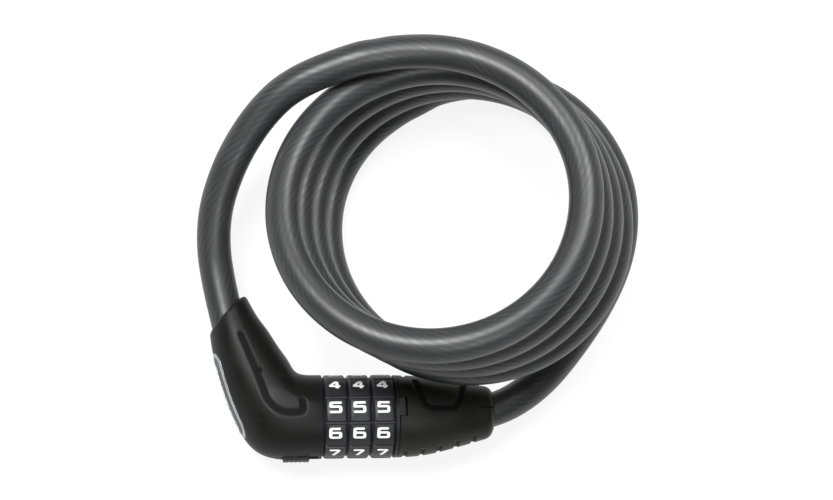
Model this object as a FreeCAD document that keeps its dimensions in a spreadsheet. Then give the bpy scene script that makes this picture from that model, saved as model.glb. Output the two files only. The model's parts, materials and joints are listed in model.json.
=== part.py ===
import FreeCAD, Part
import math
import os
from types import SimpleNamespace
import Sketcher

# A three-dial combination lock on a coiled steel cable. Millimetres.
# X runs along the barrel from the elbow to the plug, Y away from the viewer, Z up; the lock lies on Z = 0.
# Pieces of the lock are drawn about the barrel's axis and then placed.

os.makedirs("parts", exist_ok=True)
doc = FreeCAD.newDocument("CableLock")
V = FreeCAD.Vector


class Size:
    """A number of the sheet, or one worked out from them, with the expression that gives it."""

    def __init__(self, text, value):
        self.text = str(text)
        self.value = float(value)

    def __add__(self, other):
        other = size(other)
        return Size(f"({self.text} + {other.text})", self.value + other.value)

    def __radd__(self, other):
        return size(other) + self

    def __sub__(self, other):
        other = size(other)
        return Size(f"({self.text} - {other.text})", self.value - other.value)

    def __rsub__(self, other):
        return size(other) - self

    def __mul__(self, other):
        other = size(other)
        return Size(f"({self.text} * {other.text})", self.value * other.value)

    def __rmul__(self, other):
        return size(other) * self

    def __truediv__(self, other):
        other = size(other)
        return Size(f"({self.text} / {other.text})", self.value / other.value)

    def __neg__(self):
        return Size(f"(0 - {self.text})", -self.value)


def size(number):
    return number if isinstance(number, Size) else Size(number, number)


# Driving dimensions
dimensions = {
    # where the barrel lies in the part's frame
    "lock_x": 1.35,
    "lock_y": -11.32,
    "axis_height": 12.8,
    # clearances
    "running_gap": 0.1,
    "reach": 60.0,
    "seat_gap": 0.05,
    "slot_gap": 0.2,
    "root_overlap": 0.3,
    "overshoot": 1.0,
    # dials and their code rings
    "dial_count": 3,
    "dial_cells": 10,
    "dial_radius": 12.2,
    "dial_width": 6.7,
    "dial_space": 0.25,
    "dial_bevel": 0.7,
    "dial_bore": 8.15,
    "tooth_height": 0.9,
    "tooth_length": 2.35,
    "tooth_span": 20.0,
    "groove_width": 1.5,
    "groove_depth": 0.8,
    "ring_play": 0.15,
    "spline_span": 14,
    "ring_room": 6.4,
    "flange_width": 2.6,
    "reset_travel": 2.4,
    # barrel
    "tube_radius": 4.5,
    "tube_bore": 3.3,
    "tube_start": -24,
    "tube_end": 15.2,
    "gate_width": 2.8,
    "slot_width": 2.6,
    "flat_depth": 0.75,
    "spring_thickness": 0.3,
    "spring_width": 2.6,
    "spring_length": 18,
    "shim_thickness": 0.15,
    "shim_inner": 8.4,
    "shim_outer": 11.4,
    # end collar behind the last dial
    "collar_radius": 12.1,
    "collar_flange": 0.85,
    "sleeve_radius": 9.2,
    "sleeve_wall": 1.0,
    "sleeve_length": 3.5,
    "web_thickness": 0.8,
    "key_width": 5.1,
    "key_offset": 0.9,
    "key_length": 1.6,
    "clip_width": 0.6,
    "clip_radius": 5.6,
    "clip_seat": 4.0,
    "key_sink": 0.5,
    "key_drop": 0.3,
    # elbow: outer and inner corner of each section, and its half height
    "face_radius": 12.3,
    "neck_x": -18.0,
    "neck_outer": -12.4,
    "neck_inner": 12.9,
    "neck_half": 13.1,
    "turn_outer_x": -27.5,
    "turn_outer_y": -11.2,
    "turn_inner_x": -19.5,
    "turn_inner_y": 16.3,
    "turn_half": 13.1,
    "heel_outer_x": -35.0,
    "heel_outer_y": -2.6,
    "heel_inner_x": -22.5,
    "heel_inner_y": 20.7,
    "heel_half": 11.6,
    "shin_outer_x": -39.3,
    "shin_outer_y": 8.5,
    "shin_inner_x": -26.0,
    "shin_inner_y": 25.9,
    "shin_half": 10.3,
    "ankle_outer_x": -42.2,
    "ankle_outer_y": 20.0,
    "ankle_inner_x": -29.3,
    "ankle_inner_y": 30.7,
    "ankle_half": 9.2,
    "mouth_outer_x": -42.9,
    "mouth_outer_y": 25.2,
    "mouth_inner_x": -32.4,
    "mouth_inner_y": 36.5,
    "mouth_half": 8.2,
    "mouth_round": 1.0,
    "leg_turn": 104.7,
    "leg_x": -30.2,
    "cavity_radius": 9.1,
    "cavity_end": -29.5,
    # the band let into the covers, U-shaped, above and below
    "band_width": 2.4,
    "band_depth": 0.5,
    # elbow core
    "core_start": -18.2,
    "core_leg": 5.0,
    "core_leg_length": 17,
    "steel_radius": 3.9,
    "elbow_ferrule_length": 12,
    "pin_radius": 1.2,
    "elbow_pin_x": -21.6,
    "elbow_pin_reach": 8.2,
    # badge on the outer wall
    "badge_x": -36.8,
    "badge_y": 6.5,
    "badge_lift": 1.2,
    "badge_turn": -71.0,
    "badge_length": 26.6,
    "badge_height": 8.0,
    "badge_above": 3.0,
    "badge_below": 2.0,
    "badge_proud": 0.2,
    "badge_depth": 0.6,
    "badge_edge": 1.2,
    "badge_plate_drop": 0.25,
    # reset slider and code carriage
    "slider_left": -21.9,
    "slider_length": 7.6,
    "slider_width": 4.4,
    "slider_proud": 0.8,
    "slider_ribs": 5,
    "slider_rib_pitch": 1.3,
    "slider_rib_width": 0.55,
    "slider_rib_depth": 0.3,
    "finger_length": 2.3,
    "finger_reach": 7.2,
    "carriage_outer": 6.9,
    "carriage_length": 4.9,
    "arm_length": 2.4,
    "arm_reach": 8.7,
    # plug
    "plug_left": 11.5,
    "plug_radius": 12.1,
    "plug_shoulder_x": 18.0,
    "plug_shoulder": 11.75,
    "plug_waist_x": 28.0,
    "plug_waist": 10.1,
    "plug_waist_offset": 0.36,
    "plug_end_x": 40.2,
    "plug_end": 7.3,
    "plug_end_offset": 0.9,
    "plug_round": 2.2,
    "plug_mouth": 9.45,
    "plug_mouth_end": 15.4,
    "key_window": 0.7,
    "plug_core_radius": 8.5,
    "plug_core_start": 15.6,
    "plug_core_end": 24.0,
    "plug_pin_x": 17.6,
    "plug_pin_radius": 1.0,
    "grip_start": 13.7,
    "grip_pitch": 5.1,
    "grip_count": 5,
    "grip_radius": 0.9,
    "grip_depth": 0.4,
    "grip_half_height": 5.0,
    "split_start": 35.4,
    "split_y": 1.0,
    "split_width": 0.4,
    "split_floor": 6.9,
    "bolt_radius": 3.2,
    "bolt_tip": -10.2,
    "bolt_end": 19.4,
    "bolt_tooth": 6.0,
    "bolt_tooth_width": 2.2,
    "bolt_tooth_length": 1.5,
    "bolt_tooth_shift": -0.15,
    "bolt_chamfer": 0.8,
    "plug_ferrule_start": 19.6,
    # cable and coil
    "cable_radius": 5.0,
    "cable_gap": 0.25,
    "coil_turn_start": -0.27,
    "coil_turn_end": 3.671,
    "coil_x": 18.28,
    "coil_y": 55.42,
    "coil_z": 52.97,
    "coil_lean_x": -0.15,
    "coil_lean_y": 0.18,
    "coil_radius_x": 43.9,
    "coil_radius_y": 44.2,
    "coil_grow_x": 0.003,
    "coil_grow_y": 0.0148,
    "coil_drift_x": 3.535,
    "coil_drift_y": 2.3,
    "coil_pitch": 10.62,
    "coil_opening": 9.5,
    "coil_opening_end": 0.05,
    "coil_tail": 6.0,
    "plug_lead_run": 9.0,
}

sheet = doc.addObject("Spreadsheet::Sheet", "Sizes")
for row, (alias, value) in enumerate(dimensions.items(), 1):
    sheet.set(f"A{row}", alias)
    sheet.set(f"B{row}", str(value))
    sheet.setAlias(f"B{row}", alias)
doc.recompute()
S = SimpleNamespace(**{alias: Size(f"Sizes.{alias}", sheet.get(alias)) for alias in dimensions})

pieces = []


def bind(item, property_name, number):
    item.setExpression(property_name, size(number).text)


def place(item, along=0):
    """Put a finished piece, drawn about the barrel's axis, where the lock lies."""
    bind(item, "Placement.Base.x", S.lock_x + along)
    bind(item, "Placement.Base.y", S.lock_y)
    bind(item, "Placement.Base.z", S.axis_height)


def finish(item, label, along=0):
    item.Label = label
    place(item, along)
    pieces.append(item)


def group(label, *items):
    """A piece made of plain solids that keep their own places."""
    holder = doc.addObject("Part::Compound", "Group")
    holder.Links = list(items)
    finish(holder, label)


# Sketches and bodies


def origin_part(body, role):
    return next(f for f in body.Origin.OriginFeatures if f.Role == role)


def sketch_on(body, plane, offset=0):
    sketch = body.newObject("Sketcher::SketchObject", "Sketch")
    sketch.AttachmentSupport = [(origin_part(body, plane), "")]
    sketch.MapMode = "FlatFace"
    bind(sketch, "AttachmentOffset.Base.z", offset)
    return sketch


def outline(sketch, corners):
    """A closed outline of straight edges, with every corner held to the origin."""
    corners = [(size(a), size(b)) for a, b in corners]
    count = len(corners)
    first = sketch.GeometryCount
    for i, (a, b) in enumerate(corners):
        c, d = corners[(i + 1) % count]
        sketch.addGeometry(Part.LineSegment(V(a.value, b.value), V(c.value, d.value)), False)
    for i in range(count):
        sketch.addConstraint(Sketcher.Constraint("Coincident", first + i, 2, first + (i + 1) % count, 1))
    for i, corner in enumerate(corners):
        for kind, number in zip(("DistanceX", "DistanceY"), corner):
            n = sketch.addConstraint(Sketcher.Constraint(kind, -1, 1, first + i, 1, number.value))
            sketch.setExpression(f"Constraints[{n}]", number.text)
    return sketch


def rectangle(sketch, low_a, high_a, low_b, high_b):
    return outline(sketch, [(low_a, low_b), (high_a, low_b), (high_a, high_b), (low_a, high_b)])


def disc(sketch, radius, a=0, b=0):
    a, b, radius = size(a), size(b), size(radius)
    g = sketch.addGeometry(Part.Circle(V(a.value, b.value), V(0, 0, 1), radius.value), False)
    for kind, number in (("DistanceX", a), ("DistanceY", b)):
        n = sketch.addConstraint(Sketcher.Constraint(kind, -1, 1, g, 3, number.value))
        sketch.setExpression(f"Constraints[{n}]", number.text)
    n = sketch.addConstraint(Sketcher.Constraint("Radius", g, radius.value))
    sketch.setExpression(f"Constraints[{n}]", radius.text)
    return sketch


def turned(corners):
    """A body turned about the barrel's axis: each corner is (place along X, radius)."""
    body = doc.addObject("PartDesign::Body", "Body")
    profile = outline(sketch_on(body, "XZ_Plane"), corners)
    turn = body.newObject("PartDesign::Revolution", "Turned")
    turn.Profile = profile
    turn.ReferenceAxis = (profile, ["H_Axis"])
    turn.Angle = 360
    return body


def extruded(body, kind, sketch, length):
    """A pad or pocket that runs half its length to each side of its sketch."""
    feature = body.newObject(f"PartDesign::{kind}", kind)
    feature.Profile = sketch
    feature.Midplane = True
    bind(feature, "Length", length)
    doc.recompute()
    return feature


def around(body, feature, count):
    pattern = body.newObject("PartDesign::PolarPattern", "Pattern")
    pattern.Originals = [feature]
    pattern.Axis = (origin_part(body, "X_Axis"), [""])
    pattern.Angle = 360
    bind(pattern, "Occurrences", count)
    body.Tip = pattern
    doc.recompute()
    return pattern


# Part primitives


def rod(radius, start, length, axis="X", across=(0, 0)):
    """A cylinder along X, Y or Z that begins at start; across gives its other two places."""
    cylinder = doc.addObject("Part::Cylinder", "Rod")
    bind(cylinder, "Radius", radius)
    bind(cylinder, "Height", length)
    turns = {
        "X": (FreeCAD.Rotation(V(0, 1, 0), 90), ("x", "y", "z")),
        "Y": (FreeCAD.Rotation(V(1, 0, 0), -90), ("y", "x", "z")),
        "Z": (FreeCAD.Rotation(), ("z", "x", "y")),
    }
    rotation, letters = turns[axis]
    cylinder.Placement = FreeCAD.Placement(V(), rotation)
    for letter, number in zip(letters, (start, *across)):
        bind(cylinder, f"Placement.Base.{letter}", number)
    return cylinder


def block(low, high):
    box = doc.addObject("Part::Box", "Block")
    for name, letter, a, b in zip(("Length", "Width", "Height"), "xyz", low, high):
        bind(box, name, size(b) - a)
        bind(box, f"Placement.Base.{letter}", a)
    return box


def joined(*items):
    fuse = doc.addObject("Part::MultiFuse", "Joined")
    fuse.Shapes = list(items)
    return fuse


def cut(base, *tools):
    result = doc.addObject("Part::Cut", "Cut")
    result.Base = base
    result.Tool = tools[0] if len(tools) == 1 else joined(*tools)
    return result


def leg_rod(radius, start, length):
    """A cylinder along the elbow's leg, measured from where the leg's axis meets the barrel's."""
    leg = FreeCAD.Placement(V(), FreeCAD.Rotation(V(0, 0, 1), S.leg_turn.value))
    cylinder = doc.addObject("Part::Cylinder", "Rod")
    bind(cylinder, "Radius", radius)
    bind(cylinder, "Height", length)
    cylinder.Placement = leg * FreeCAD.Placement(V(), FreeCAD.Rotation(V(0, 1, 0), 90))
    bind(cylinder, "Placement.Base.x", S.leg_x + size(start) * leg_across)
    bind(cylinder, "Placement.Base.y", size(start) * leg_forward)
    return cylinder


leg_across = Size("cos(Sizes.leg_turn * 1deg)", math.cos(math.radians(S.leg_turn.value)))
leg_forward = Size("sin(Sizes.leg_turn * 1deg)", math.sin(math.radians(S.leg_turn.value)))
dial_pitch = S.dial_width + S.dial_space
half_width = S.dial_width / 2
stack_end = dial_pitch * S.dial_count / 2 + S.dial_space / 2
collar_face = stack_end
cell = 360 / dimensions["dial_cells"]


def dial_place(number):
    """Where a dial's middle lies along the barrel, counted from 1 at the elbow."""
    return dial_pitch * (number - (S.dial_count + 1) / 2)


def wedge(body, inner, outer, low, high, span):
    """A toothed ring's tooth: a pad between two radii, span degrees wide, from low to high along X."""
    half = size(span) / 2
    sine = Size(f"sin({half.text} * 1deg)", math.sin(math.radians(half.value)))
    middle = (size(low) + high) / 2
    sketch = sketch_on(body, "YZ_Plane", middle)
    outline(
        sketch,
        [
            (-(size(inner) * sine), inner),
            (size(inner) * sine, inner),
            (size(outer) * sine, outer),
            (-(size(outer) * sine), outer),
        ],
    )
    return extruded(body, "Pad", sketch, size(high) - low)


# Dials: ten number cells with grooves between them outside, ten teeth inside at the left face


def dial(number):
    body = turned(
        [
            (-half_width, S.dial_bore),
            (-half_width, S.dial_radius - S.dial_bevel),
            (-half_width + S.dial_bevel, S.dial_radius),
            (half_width - S.dial_bevel, S.dial_radius),
            (half_width, S.dial_radius - S.dial_bevel),
            (half_width, S.dial_bore),
        ]
    )
    groove = outline(
        sketch_on(body, "YZ_Plane"),
        [
            (-S.groove_width / 2, S.dial_radius + S.overshoot),
            (-S.groove_width / 4, S.dial_radius - S.groove_depth),
            (S.groove_width / 4, S.dial_radius - S.groove_depth),
            (S.groove_width / 2, S.dial_radius + S.overshoot),
        ],
    )
    turn_to_gap(groove)
    around(body, extruded(body, "Pocket", groove, S.dial_width + S.overshoot), S.dial_cells)
    tooth = wedge(
        body,
        S.dial_bore - S.tooth_height,
        S.dial_bore + S.root_overlap,
        -half_width,
        -half_width + S.tooth_length,
        S.tooth_span,
    )
    turn_to_gap(tooth.Profile[0])
    around(body, tooth, S.dial_cells)
    finish(body, f"dial_{number}", dial_place(number))


def turn_to_gap(sketch):
    """Turn a sketch on the YZ plane by half a cell, from a figure to the gap beside it."""
    angle = FreeCAD.Rotation(V(0, 0, 1), cell / 2)
    sketch.AttachmentOffset = FreeCAD.Placement(sketch.AttachmentOffset.Base, angle)


def code_ring(number):
    """Ring with ten splines in the dial's teeth, and a gated flange behind each tooth of the bolt."""
    half = half_width + S.seat_gap
    body_radius = S.dial_bore - S.tooth_height - S.ring_play
    bore = S.tube_radius + S.seat_gap
    body = turned(
        [
            (-half, S.ring_room),
            (-half, body_radius),
            (half, body_radius),
            (half, bore),
            (half - S.flange_width, bore),
            (half - S.flange_width, S.ring_room),
        ]
    )
    spline = wedge(
        body,
        body_radius - S.root_overlap,
        S.dial_bore - S.ring_play,
        -half_width + S.seat_gap,
        -half_width + S.tooth_length - S.seat_gap,
        S.spline_span,
    )
    around(body, spline, S.dial_cells)
    gate = rectangle(
        sketch_on(body, "YZ_Plane", half - S.flange_width / 2),
        -S.gate_width / 2,
        S.gate_width / 2,
        0,
        S.ring_room,
    )
    extruded(body, "Pocket", gate, S.flange_width + S.slot_gap)
    finish(body, f"code_ring_{number}", dial_place(number))


for number in range(1, dimensions["dial_count"] + 1):
    dial(number)
    code_ring(number)


# Barrel tube with its slot, the leaf spring in a flat below, and the shims between the dials


def barrel_tube():
    clip = collar_face + S.sleeve_length + S.seat_gap
    body = turned(
        [
            (S.tube_start, S.tube_bore),
            (S.tube_start, S.tube_radius),
            (clip, S.tube_radius),
            (clip, S.clip_seat),
            (clip + S.clip_width + S.seat_gap, S.clip_seat),
            (clip + S.clip_width + S.seat_gap, S.tube_radius),
            (S.tube_end, S.tube_radius),
            (S.tube_end, S.tube_bore),
        ]
    )
    slot_length = S.tube_end + stack_end + S.running_gap
    slot = rectangle(
        sketch_on(body, "YZ_Plane", S.tube_end / 2 - stack_end / 2),
        -S.slot_width / 2,
        S.slot_width / 2,
        0,
        S.tube_radius + S.overshoot,
    )
    extruded(body, "Pocket", slot, slot_length)
    flat = rectangle(
        sketch_on(body, "YZ_Plane"),
        -S.tube_radius,
        S.tube_radius,
        -S.tube_radius - S.overshoot,
        -S.tube_radius + S.flat_depth,
    )
    extruded(body, "Pocket", flat, S.spring_length + S.slot_gap * 2)
    hole = disc(sketch_on(body, "XY_Plane"), S.pin_radius, S.elbow_pin_x, 0)
    extruded(body, "Pocket", hole, S.tube_radius * 3)
    finish(body, "barrel_tube")


def detent_spring():
    top = -S.tube_radius + S.flat_depth
    strip = block(
        (-S.spring_length / 2, -S.spring_width / 2, top - S.spring_thickness),
        (S.spring_length / 2, S.spring_width / 2, top),
    )
    group("detent_spring", strip)


def dial_shims():
    """Four washers, one in each space beside a dial."""
    washers = []
    for i in range(dimensions["dial_count"] + 1):
        centre = dial_pitch * (i - S.dial_count / 2)
        start = centre - S.shim_thickness / 2
        washers.append(
            cut(
                rod(S.shim_outer, start, S.shim_thickness),
                rod(S.shim_inner, start - S.overshoot, S.shim_thickness + S.overshoot * 2),
            )
        )
    group("dial_shims", *washers)


def end_collar():
    """Flange, sleeve and web behind the last dial, with the key that finds the plug's notch."""
    web = collar_face + S.sleeve_length
    body = turned(
        [
            (collar_face, S.sleeve_radius - S.sleeve_wall),
            (collar_face, S.collar_radius),
            (collar_face + S.collar_flange, S.collar_radius),
            (collar_face + S.collar_flange, S.sleeve_radius),
            (web, S.sleeve_radius),
            (web, S.tube_radius + S.running_gap),
            (web - S.web_thickness, S.tube_radius + S.running_gap),
            (web - S.web_thickness, S.sleeve_radius - S.sleeve_wall),
        ]
    )
    key_start = collar_face + S.collar_flange
    key = rectangle(
        sketch_on(body, "YZ_Plane", key_start + S.key_length / 2 - S.running_gap),
        S.key_offset - S.key_width / 2,
        S.key_offset + S.key_width / 2,
        S.sleeve_radius - S.key_sink,
        S.collar_radius - S.key_drop,
    )
    extruded(body, "Pad", key, S.key_length + S.running_gap * 2)
    gate = rectangle(
        sketch_on(body, "YZ_Plane", web),
        -S.gate_width / 2,
        S.gate_width / 2,
        0,
        S.ring_room,
    )
    extruded(body, "Pocket", gate, S.web_thickness * 2 + S.slot_gap)
    finish(body, "end_collar")


def retaining_ring():
    start = collar_face + S.sleeve_length + S.seat_gap
    before = start - S.overshoot
    after = start + S.clip_width + S.overshoot
    ring = cut(
        rod(S.clip_radius, start, S.clip_width),
        rod(S.clip_seat, before, S.clip_width + S.overshoot * 2),
        block((before, -S.gate_width / 2, 0), (after, S.gate_width / 2, S.clip_radius + S.overshoot)),
    )
    finish(ring, "retaining_ring")


barrel_tube()
detent_spring()
dial_shims()
end_collar()
retaining_ring()


# Routes: straight runs joined by tangent arcs

bend_share = 0.45  # of the shorter run beside a corner, taken by its arc
spans_per_turn = 4
samples_per_turn = 60
way_step = 0.0001


def route(points, name):
    """Edges through the points of a route; the radius of each arc is printed."""
    points = [V(*p) for p in points]
    edges = []
    radii = []
    here = points[0]
    for before, at, after in zip(points, points[1:], points[2:]):
        back = (before - at).normalize()
        ahead = (after - at).normalize()
        half_turn = (math.pi - back.getAngle(ahead)) / 2
        reach = bend_share * min((at - before).Length, (after - at).Length)
        radius = reach / math.tan(half_turn)
        radii.append(radius)
        arc_start = at + back * reach
        arc_end = at + ahead * reach
        inward = (back + ahead).normalize()
        arc_middle = at + inward * (radius / math.cos(half_turn) - radius)
        edges.append(Part.LineSegment(here, arc_start).toShape())
        edges.append(Part.Arc(arc_start, arc_middle, arc_end).toShape())
        here = arc_end
    edges.append(Part.LineSegment(here, points[-1]).toShape())
    print(name, "arc radii", " ".join(f"{r:.0f}" for r in radii))
    return edges


# Elbow

elbow_band = [
    (-34.1, 23.0, 0),
    (-30.0, 12.4, 0),
    (-27.0, 2.6, 0),
    (-22.4, -0.9, 0),
    (-16.3, -0.5, 0),
    (-16.6, 2.6, 0),
]
plug_band = [(16.6, 8.6, 0), (19.4, 0.6, 0), (24.0, 0.5, 0), (28.4, 0.6, 0), (31.0, 8.0, 0)]


def section(outer_x, outer_y, inner_x, inner_y, half_height, inset):
    """One upright oval of the elbow's form, between its outer and its inner corner, in four quarters."""
    outer = V(size(outer_x).value, size(outer_y).value)
    inner = V(size(inner_x).value, size(inner_y).value)
    middle = (inner + outer) * 0.5
    across = (inner - outer) * 0.5
    across = across * (1 - inset / across.Length)
    upward = V(0, 0, size(half_height).value - inset)

    def at(quarters):
        angle = quarters * math.pi / 2
        return across * math.cos(angle) + upward * math.sin(angle)

    edges = []
    for quarter in range(4):
        points = [middle + at(quarter + step / 4) for step in range(5)]
        curve = Part.BSplineCurve()
        curve.interpolate(points, InitialTangent=at(quarter + 1), FinalTangent=at(quarter + 2))
        edges.append(curve.toShape())
    return Part.Wire(edges)


def elbow_form(inset=0):
    """The elbow's outer form, or one that lies the inset below it, cut flat above and below."""
    rows = [
        (-stack_end, -S.face_radius, -stack_end, S.face_radius, S.face_radius),
        (S.neck_x, S.neck_outer, S.neck_x, S.neck_inner, S.neck_half),
        (S.turn_outer_x, S.turn_outer_y, S.turn_inner_x, S.turn_inner_y, S.turn_half),
        (S.heel_outer_x, S.heel_outer_y, S.heel_inner_x, S.heel_inner_y, S.heel_half),
        (S.shin_outer_x, S.shin_outer_y, S.shin_inner_x, S.shin_inner_y, S.shin_half),
        (S.ankle_outer_x, S.ankle_outer_y, S.ankle_inner_x, S.ankle_inner_y, S.ankle_half),
        (S.mouth_outer_x, S.mouth_outer_y, S.mouth_inner_x, S.mouth_inner_y, S.mouth_half),
    ]
    loft = Part.makeLoft([section(*row, size(inset).value) for row in rows], True, False)
    form = doc.addObject("Part::Feature", "ElbowForm")
    form.Shape = loft
    if size(inset).value == 0:
        end_face = max(loft.Faces, key=lambda face: face.CenterOfMass.y)
        form.Shape = loft.makeFillet(S.mouth_round.value, end_face.Edges)
    top = S.axis_height - inset
    return cut(
        form,
        block((-S.reach, -S.reach, top), (S.reach, S.reach, S.reach)),
        block((-S.reach, -S.reach, -S.reach), (S.reach, S.reach, -top)),
    )


def band(name, points, floor):
    """Cutter for the band let into a cover: a strip along the route, outside the form that is its floor."""
    strip = doc.addObject("Part::Feature", "Band")
    path = Part.Wire(route(points, name))
    edge = path.makeOffset2D(S.band_width.value / 2)
    height = V(0, 0, 2 * S.reach.value)
    strip.Shape = Part.Face(edge).extrude(height).translated(height * -0.5)
    return cut(strip, floor)


def badge_pill(length, height):
    """A pill with its long side along the outer wall, that goes through the wall's surface."""
    end = (size(length) - height) / 2
    radius = size(height) / 2
    start = -S.badge_above
    depth = S.badge_above + S.badge_below
    holder = doc.addObject("Part::Compound", "Badge")
    holder.Links = [
        joined(
            block((-end, start, -radius), (end, S.badge_below, radius)),
            rod(radius, start, depth, "Y", (-end, 0)),
            rod(radius, start, depth, "Y", (end, 0)),
        )
    ]
    holder.Placement = FreeCAD.Placement(V(), FreeCAD.Rotation(V(0, 0, 1), S.badge_turn.value))
    bind(holder, "Placement.Base.x", S.badge_x)
    bind(holder, "Placement.Base.y", S.badge_y)
    bind(holder, "Placement.Base.z", S.badge_lift)
    return holder


def common(*items):
    shared = doc.addObject("Part::MultiCommon", "Common")
    shared.Shapes = list(items)
    return shared


def badge():
    """Frame let into the outer wall, and the bare plate inside it; both follow the wall."""
    window_length = S.badge_length - S.badge_edge * 2
    window_height = S.badge_height - S.badge_edge * 2
    floor = elbow_form(S.badge_depth)
    outer = common(badge_pill(S.badge_length, S.badge_height), elbow_form(-S.badge_proud))
    group("badge_frame", cut(outer, floor, badge_pill(window_length, window_height)))
    inner = common(badge_pill(window_length, window_height), elbow_form(S.badge_plate_drop))
    group("badge_plate", cut(inner, floor))


def elbow_cover():
    """Moulded cover, bent from the dials to the cable, flat above and below, with its band."""
    slot_left = S.slider_left - S.slot_gap
    slot_right = S.slider_left + S.slider_length + S.reset_travel + S.slot_gap
    slot_half = S.slider_width / 2 + S.slot_gap
    cover = cut(
        elbow_form(),
        rod(S.cavity_radius, S.cavity_end, -S.cavity_end),
        leg_rod(S.core_leg + S.seat_gap, 0, S.core_leg_length + S.seat_gap),
        leg_rod(S.cable_radius + S.cable_gap, S.core_leg_length, S.reach),
        block((slot_left, -S.face_radius * 2, -slot_half), (slot_right, -S.finger_reach, slot_half)),
        cut(badge_pill(S.badge_length, S.badge_height), elbow_form(S.badge_depth)),
        band("elbow band", elbow_band, elbow_form(S.band_depth)),
    )
    finish(cover, "elbow_cover")


def elbow_core():
    barrel = rod(S.cavity_radius - S.seat_gap, S.cavity_end + S.seat_gap, S.core_start - S.cavity_end - S.seat_gap)
    leg = leg_rod(S.core_leg, 0, S.core_leg_length)
    ferrule_start = S.core_leg_length - S.elbow_ferrule_length
    core = cut(
        joined(barrel, leg),
        rod(S.tube_radius, S.tube_start, -S.tube_start),
        leg_rod(S.steel_radius, ferrule_start, S.elbow_ferrule_length + S.overshoot),
        rod(S.pin_radius, -S.cavity_radius * 2, S.cavity_radius * 4, "Z", (S.elbow_pin_x, 0)),
    )
    finish(core, "elbow_core")
    group("elbow_ferrule", leg_rod(S.steel_radius, ferrule_start, S.elbow_ferrule_length))


def cross_pin(label, radius, at, reach, axis):
    across = (at, 0)
    group(label, rod(radius, -size(reach), size(reach) * 2, axis, across))


elbow_cover()
badge()
elbow_core()
cross_pin("elbow_pin", S.pin_radius, S.elbow_pin_x, S.elbow_pin_reach, "Z")


# Reset slider and code carriage


def reset_slider():
    """Knob with a ribbed face, on a finger that reaches the code carriage."""
    half = S.slider_width / 2
    foot = S.cavity_radius + S.running_gap
    top = S.face_radius + S.slider_proud
    right = S.slider_left + S.slider_length
    middle = S.slider_left + S.slider_length / 2
    finger_right = -stack_end - S.carriage_length - S.running_gap
    furrows = []
    for i in range(dimensions["slider_ribs"]):
        furrow = middle + S.slider_rib_pitch * (i - (S.slider_ribs - 1) / 2) - S.slider_rib_width / 2
        low = (furrow, -top - S.overshoot, -half - S.overshoot)
        furrows.append(block(low, (furrow + S.slider_rib_width, -top + S.slider_rib_depth, half + S.overshoot)))
    knob = cut(block((S.slider_left, -top, -half), (right, -foot, half)), *furrows)
    finger = block(
        (finger_right - S.finger_length, -foot - S.overshoot, -half),
        (finger_right, -S.finger_reach, half),
    )
    finish(joined(knob, finger), "reset_slider")


def code_carriage():
    """Ring behind the code rings, with the arm that the slider's finger pushes."""
    start = -stack_end - S.carriage_length
    end = -stack_end + S.seat_gap
    body = turned(
        [
            (start, S.tube_radius + S.running_gap),
            (start, S.carriage_outer),
            (end, S.carriage_outer),
            (end, S.tube_radius + S.running_gap),
        ]
    )
    arm = rectangle(
        sketch_on(body, "YZ_Plane", start + S.arm_length / 2),
        -S.arm_reach,
        -S.carriage_outer + S.key_sink,
        -S.slider_width / 2 + S.slot_gap,
        S.slider_width / 2 - S.slot_gap,
    )
    extruded(body, "Pad", arm, S.arm_length)
    finish(body, "code_carriage")


reset_slider()
code_carriage()


# Cable, with the coil by its formula


def tube(edges, radius):
    path = Part.Wire(edges)
    start = edges[0].firstVertex().Point
    way = edges[0].tangentAt(edges[0].FirstParameter)
    ring = Part.Wire(Part.Circle(start, way, radius).toShape())
    return path.makePipeShell([ring], True, False)


def cable_piece(label, edges):
    radius = S.cable_radius.value
    solid = tube(edges, radius)
    length = sum(e.Length for e in edges)
    share = solid.Volume / (math.pi * radius**2 * length)
    print(label, f"length {length:.1f} volume / (section x length) {share:.5f}")
    piece = doc.addObject("Part::Feature", "Cable")
    piece.Shape = solid
    piece.Label = label
    bind(piece, "Placement.Base.x", S.lock_x)
    bind(piece, "Placement.Base.y", S.lock_y)
    pieces.append(piece)


def coil_frame():
    lean = V(S.coil_lean_x.value, S.coil_lean_y.value, 1).normalize()
    across = (V(1, 0, 0) - lean * lean.x).normalize()
    return lean, across, lean.cross(across)


def coil_point(turn):
    """Centre of the cable after this many turns, counted from the right of the top turn."""
    lean, across, along = coil_frame()
    angle = -2 * math.pi * turn
    opening = S.coil_opening.value * max(0, S.coil_opening_end.value - turn)
    radius_x = S.coil_radius_x.value * (1 + S.coil_grow_x.value * turn) + opening
    radius_y = S.coil_radius_y.value * (1 + S.coil_grow_y.value * turn) + opening
    centre = V(S.coil_x.value, S.coil_y.value, S.coil_z.value)
    return (
        centre
        + across * (radius_x * math.cos(angle) + S.coil_drift_x.value * turn)
        + along * (radius_y * math.sin(angle) + S.coil_drift_y.value * turn)
        - lean * (S.coil_pitch.value * turn)
    )


def coil_way(turn):
    way = (coil_point(turn + way_step) - coil_point(turn - way_step)).normalize()
    # the last turn comes to lie flat on the floor
    if turn >= S.coil_turn_end.value:
        way = V(way.x, way.y, 0).normalize()
    return way


def arc_from(start, way, end):
    chord = end - start
    along = V(chord).normalize()
    side = way - along * way.dot(along)
    sagitta = chord.Length / 2 * math.tan(way.getAngle(chord) / 2)
    return Part.Arc(start, start + chord * 0.5 + side.normalize() * sagitta, end).toShape()


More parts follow.
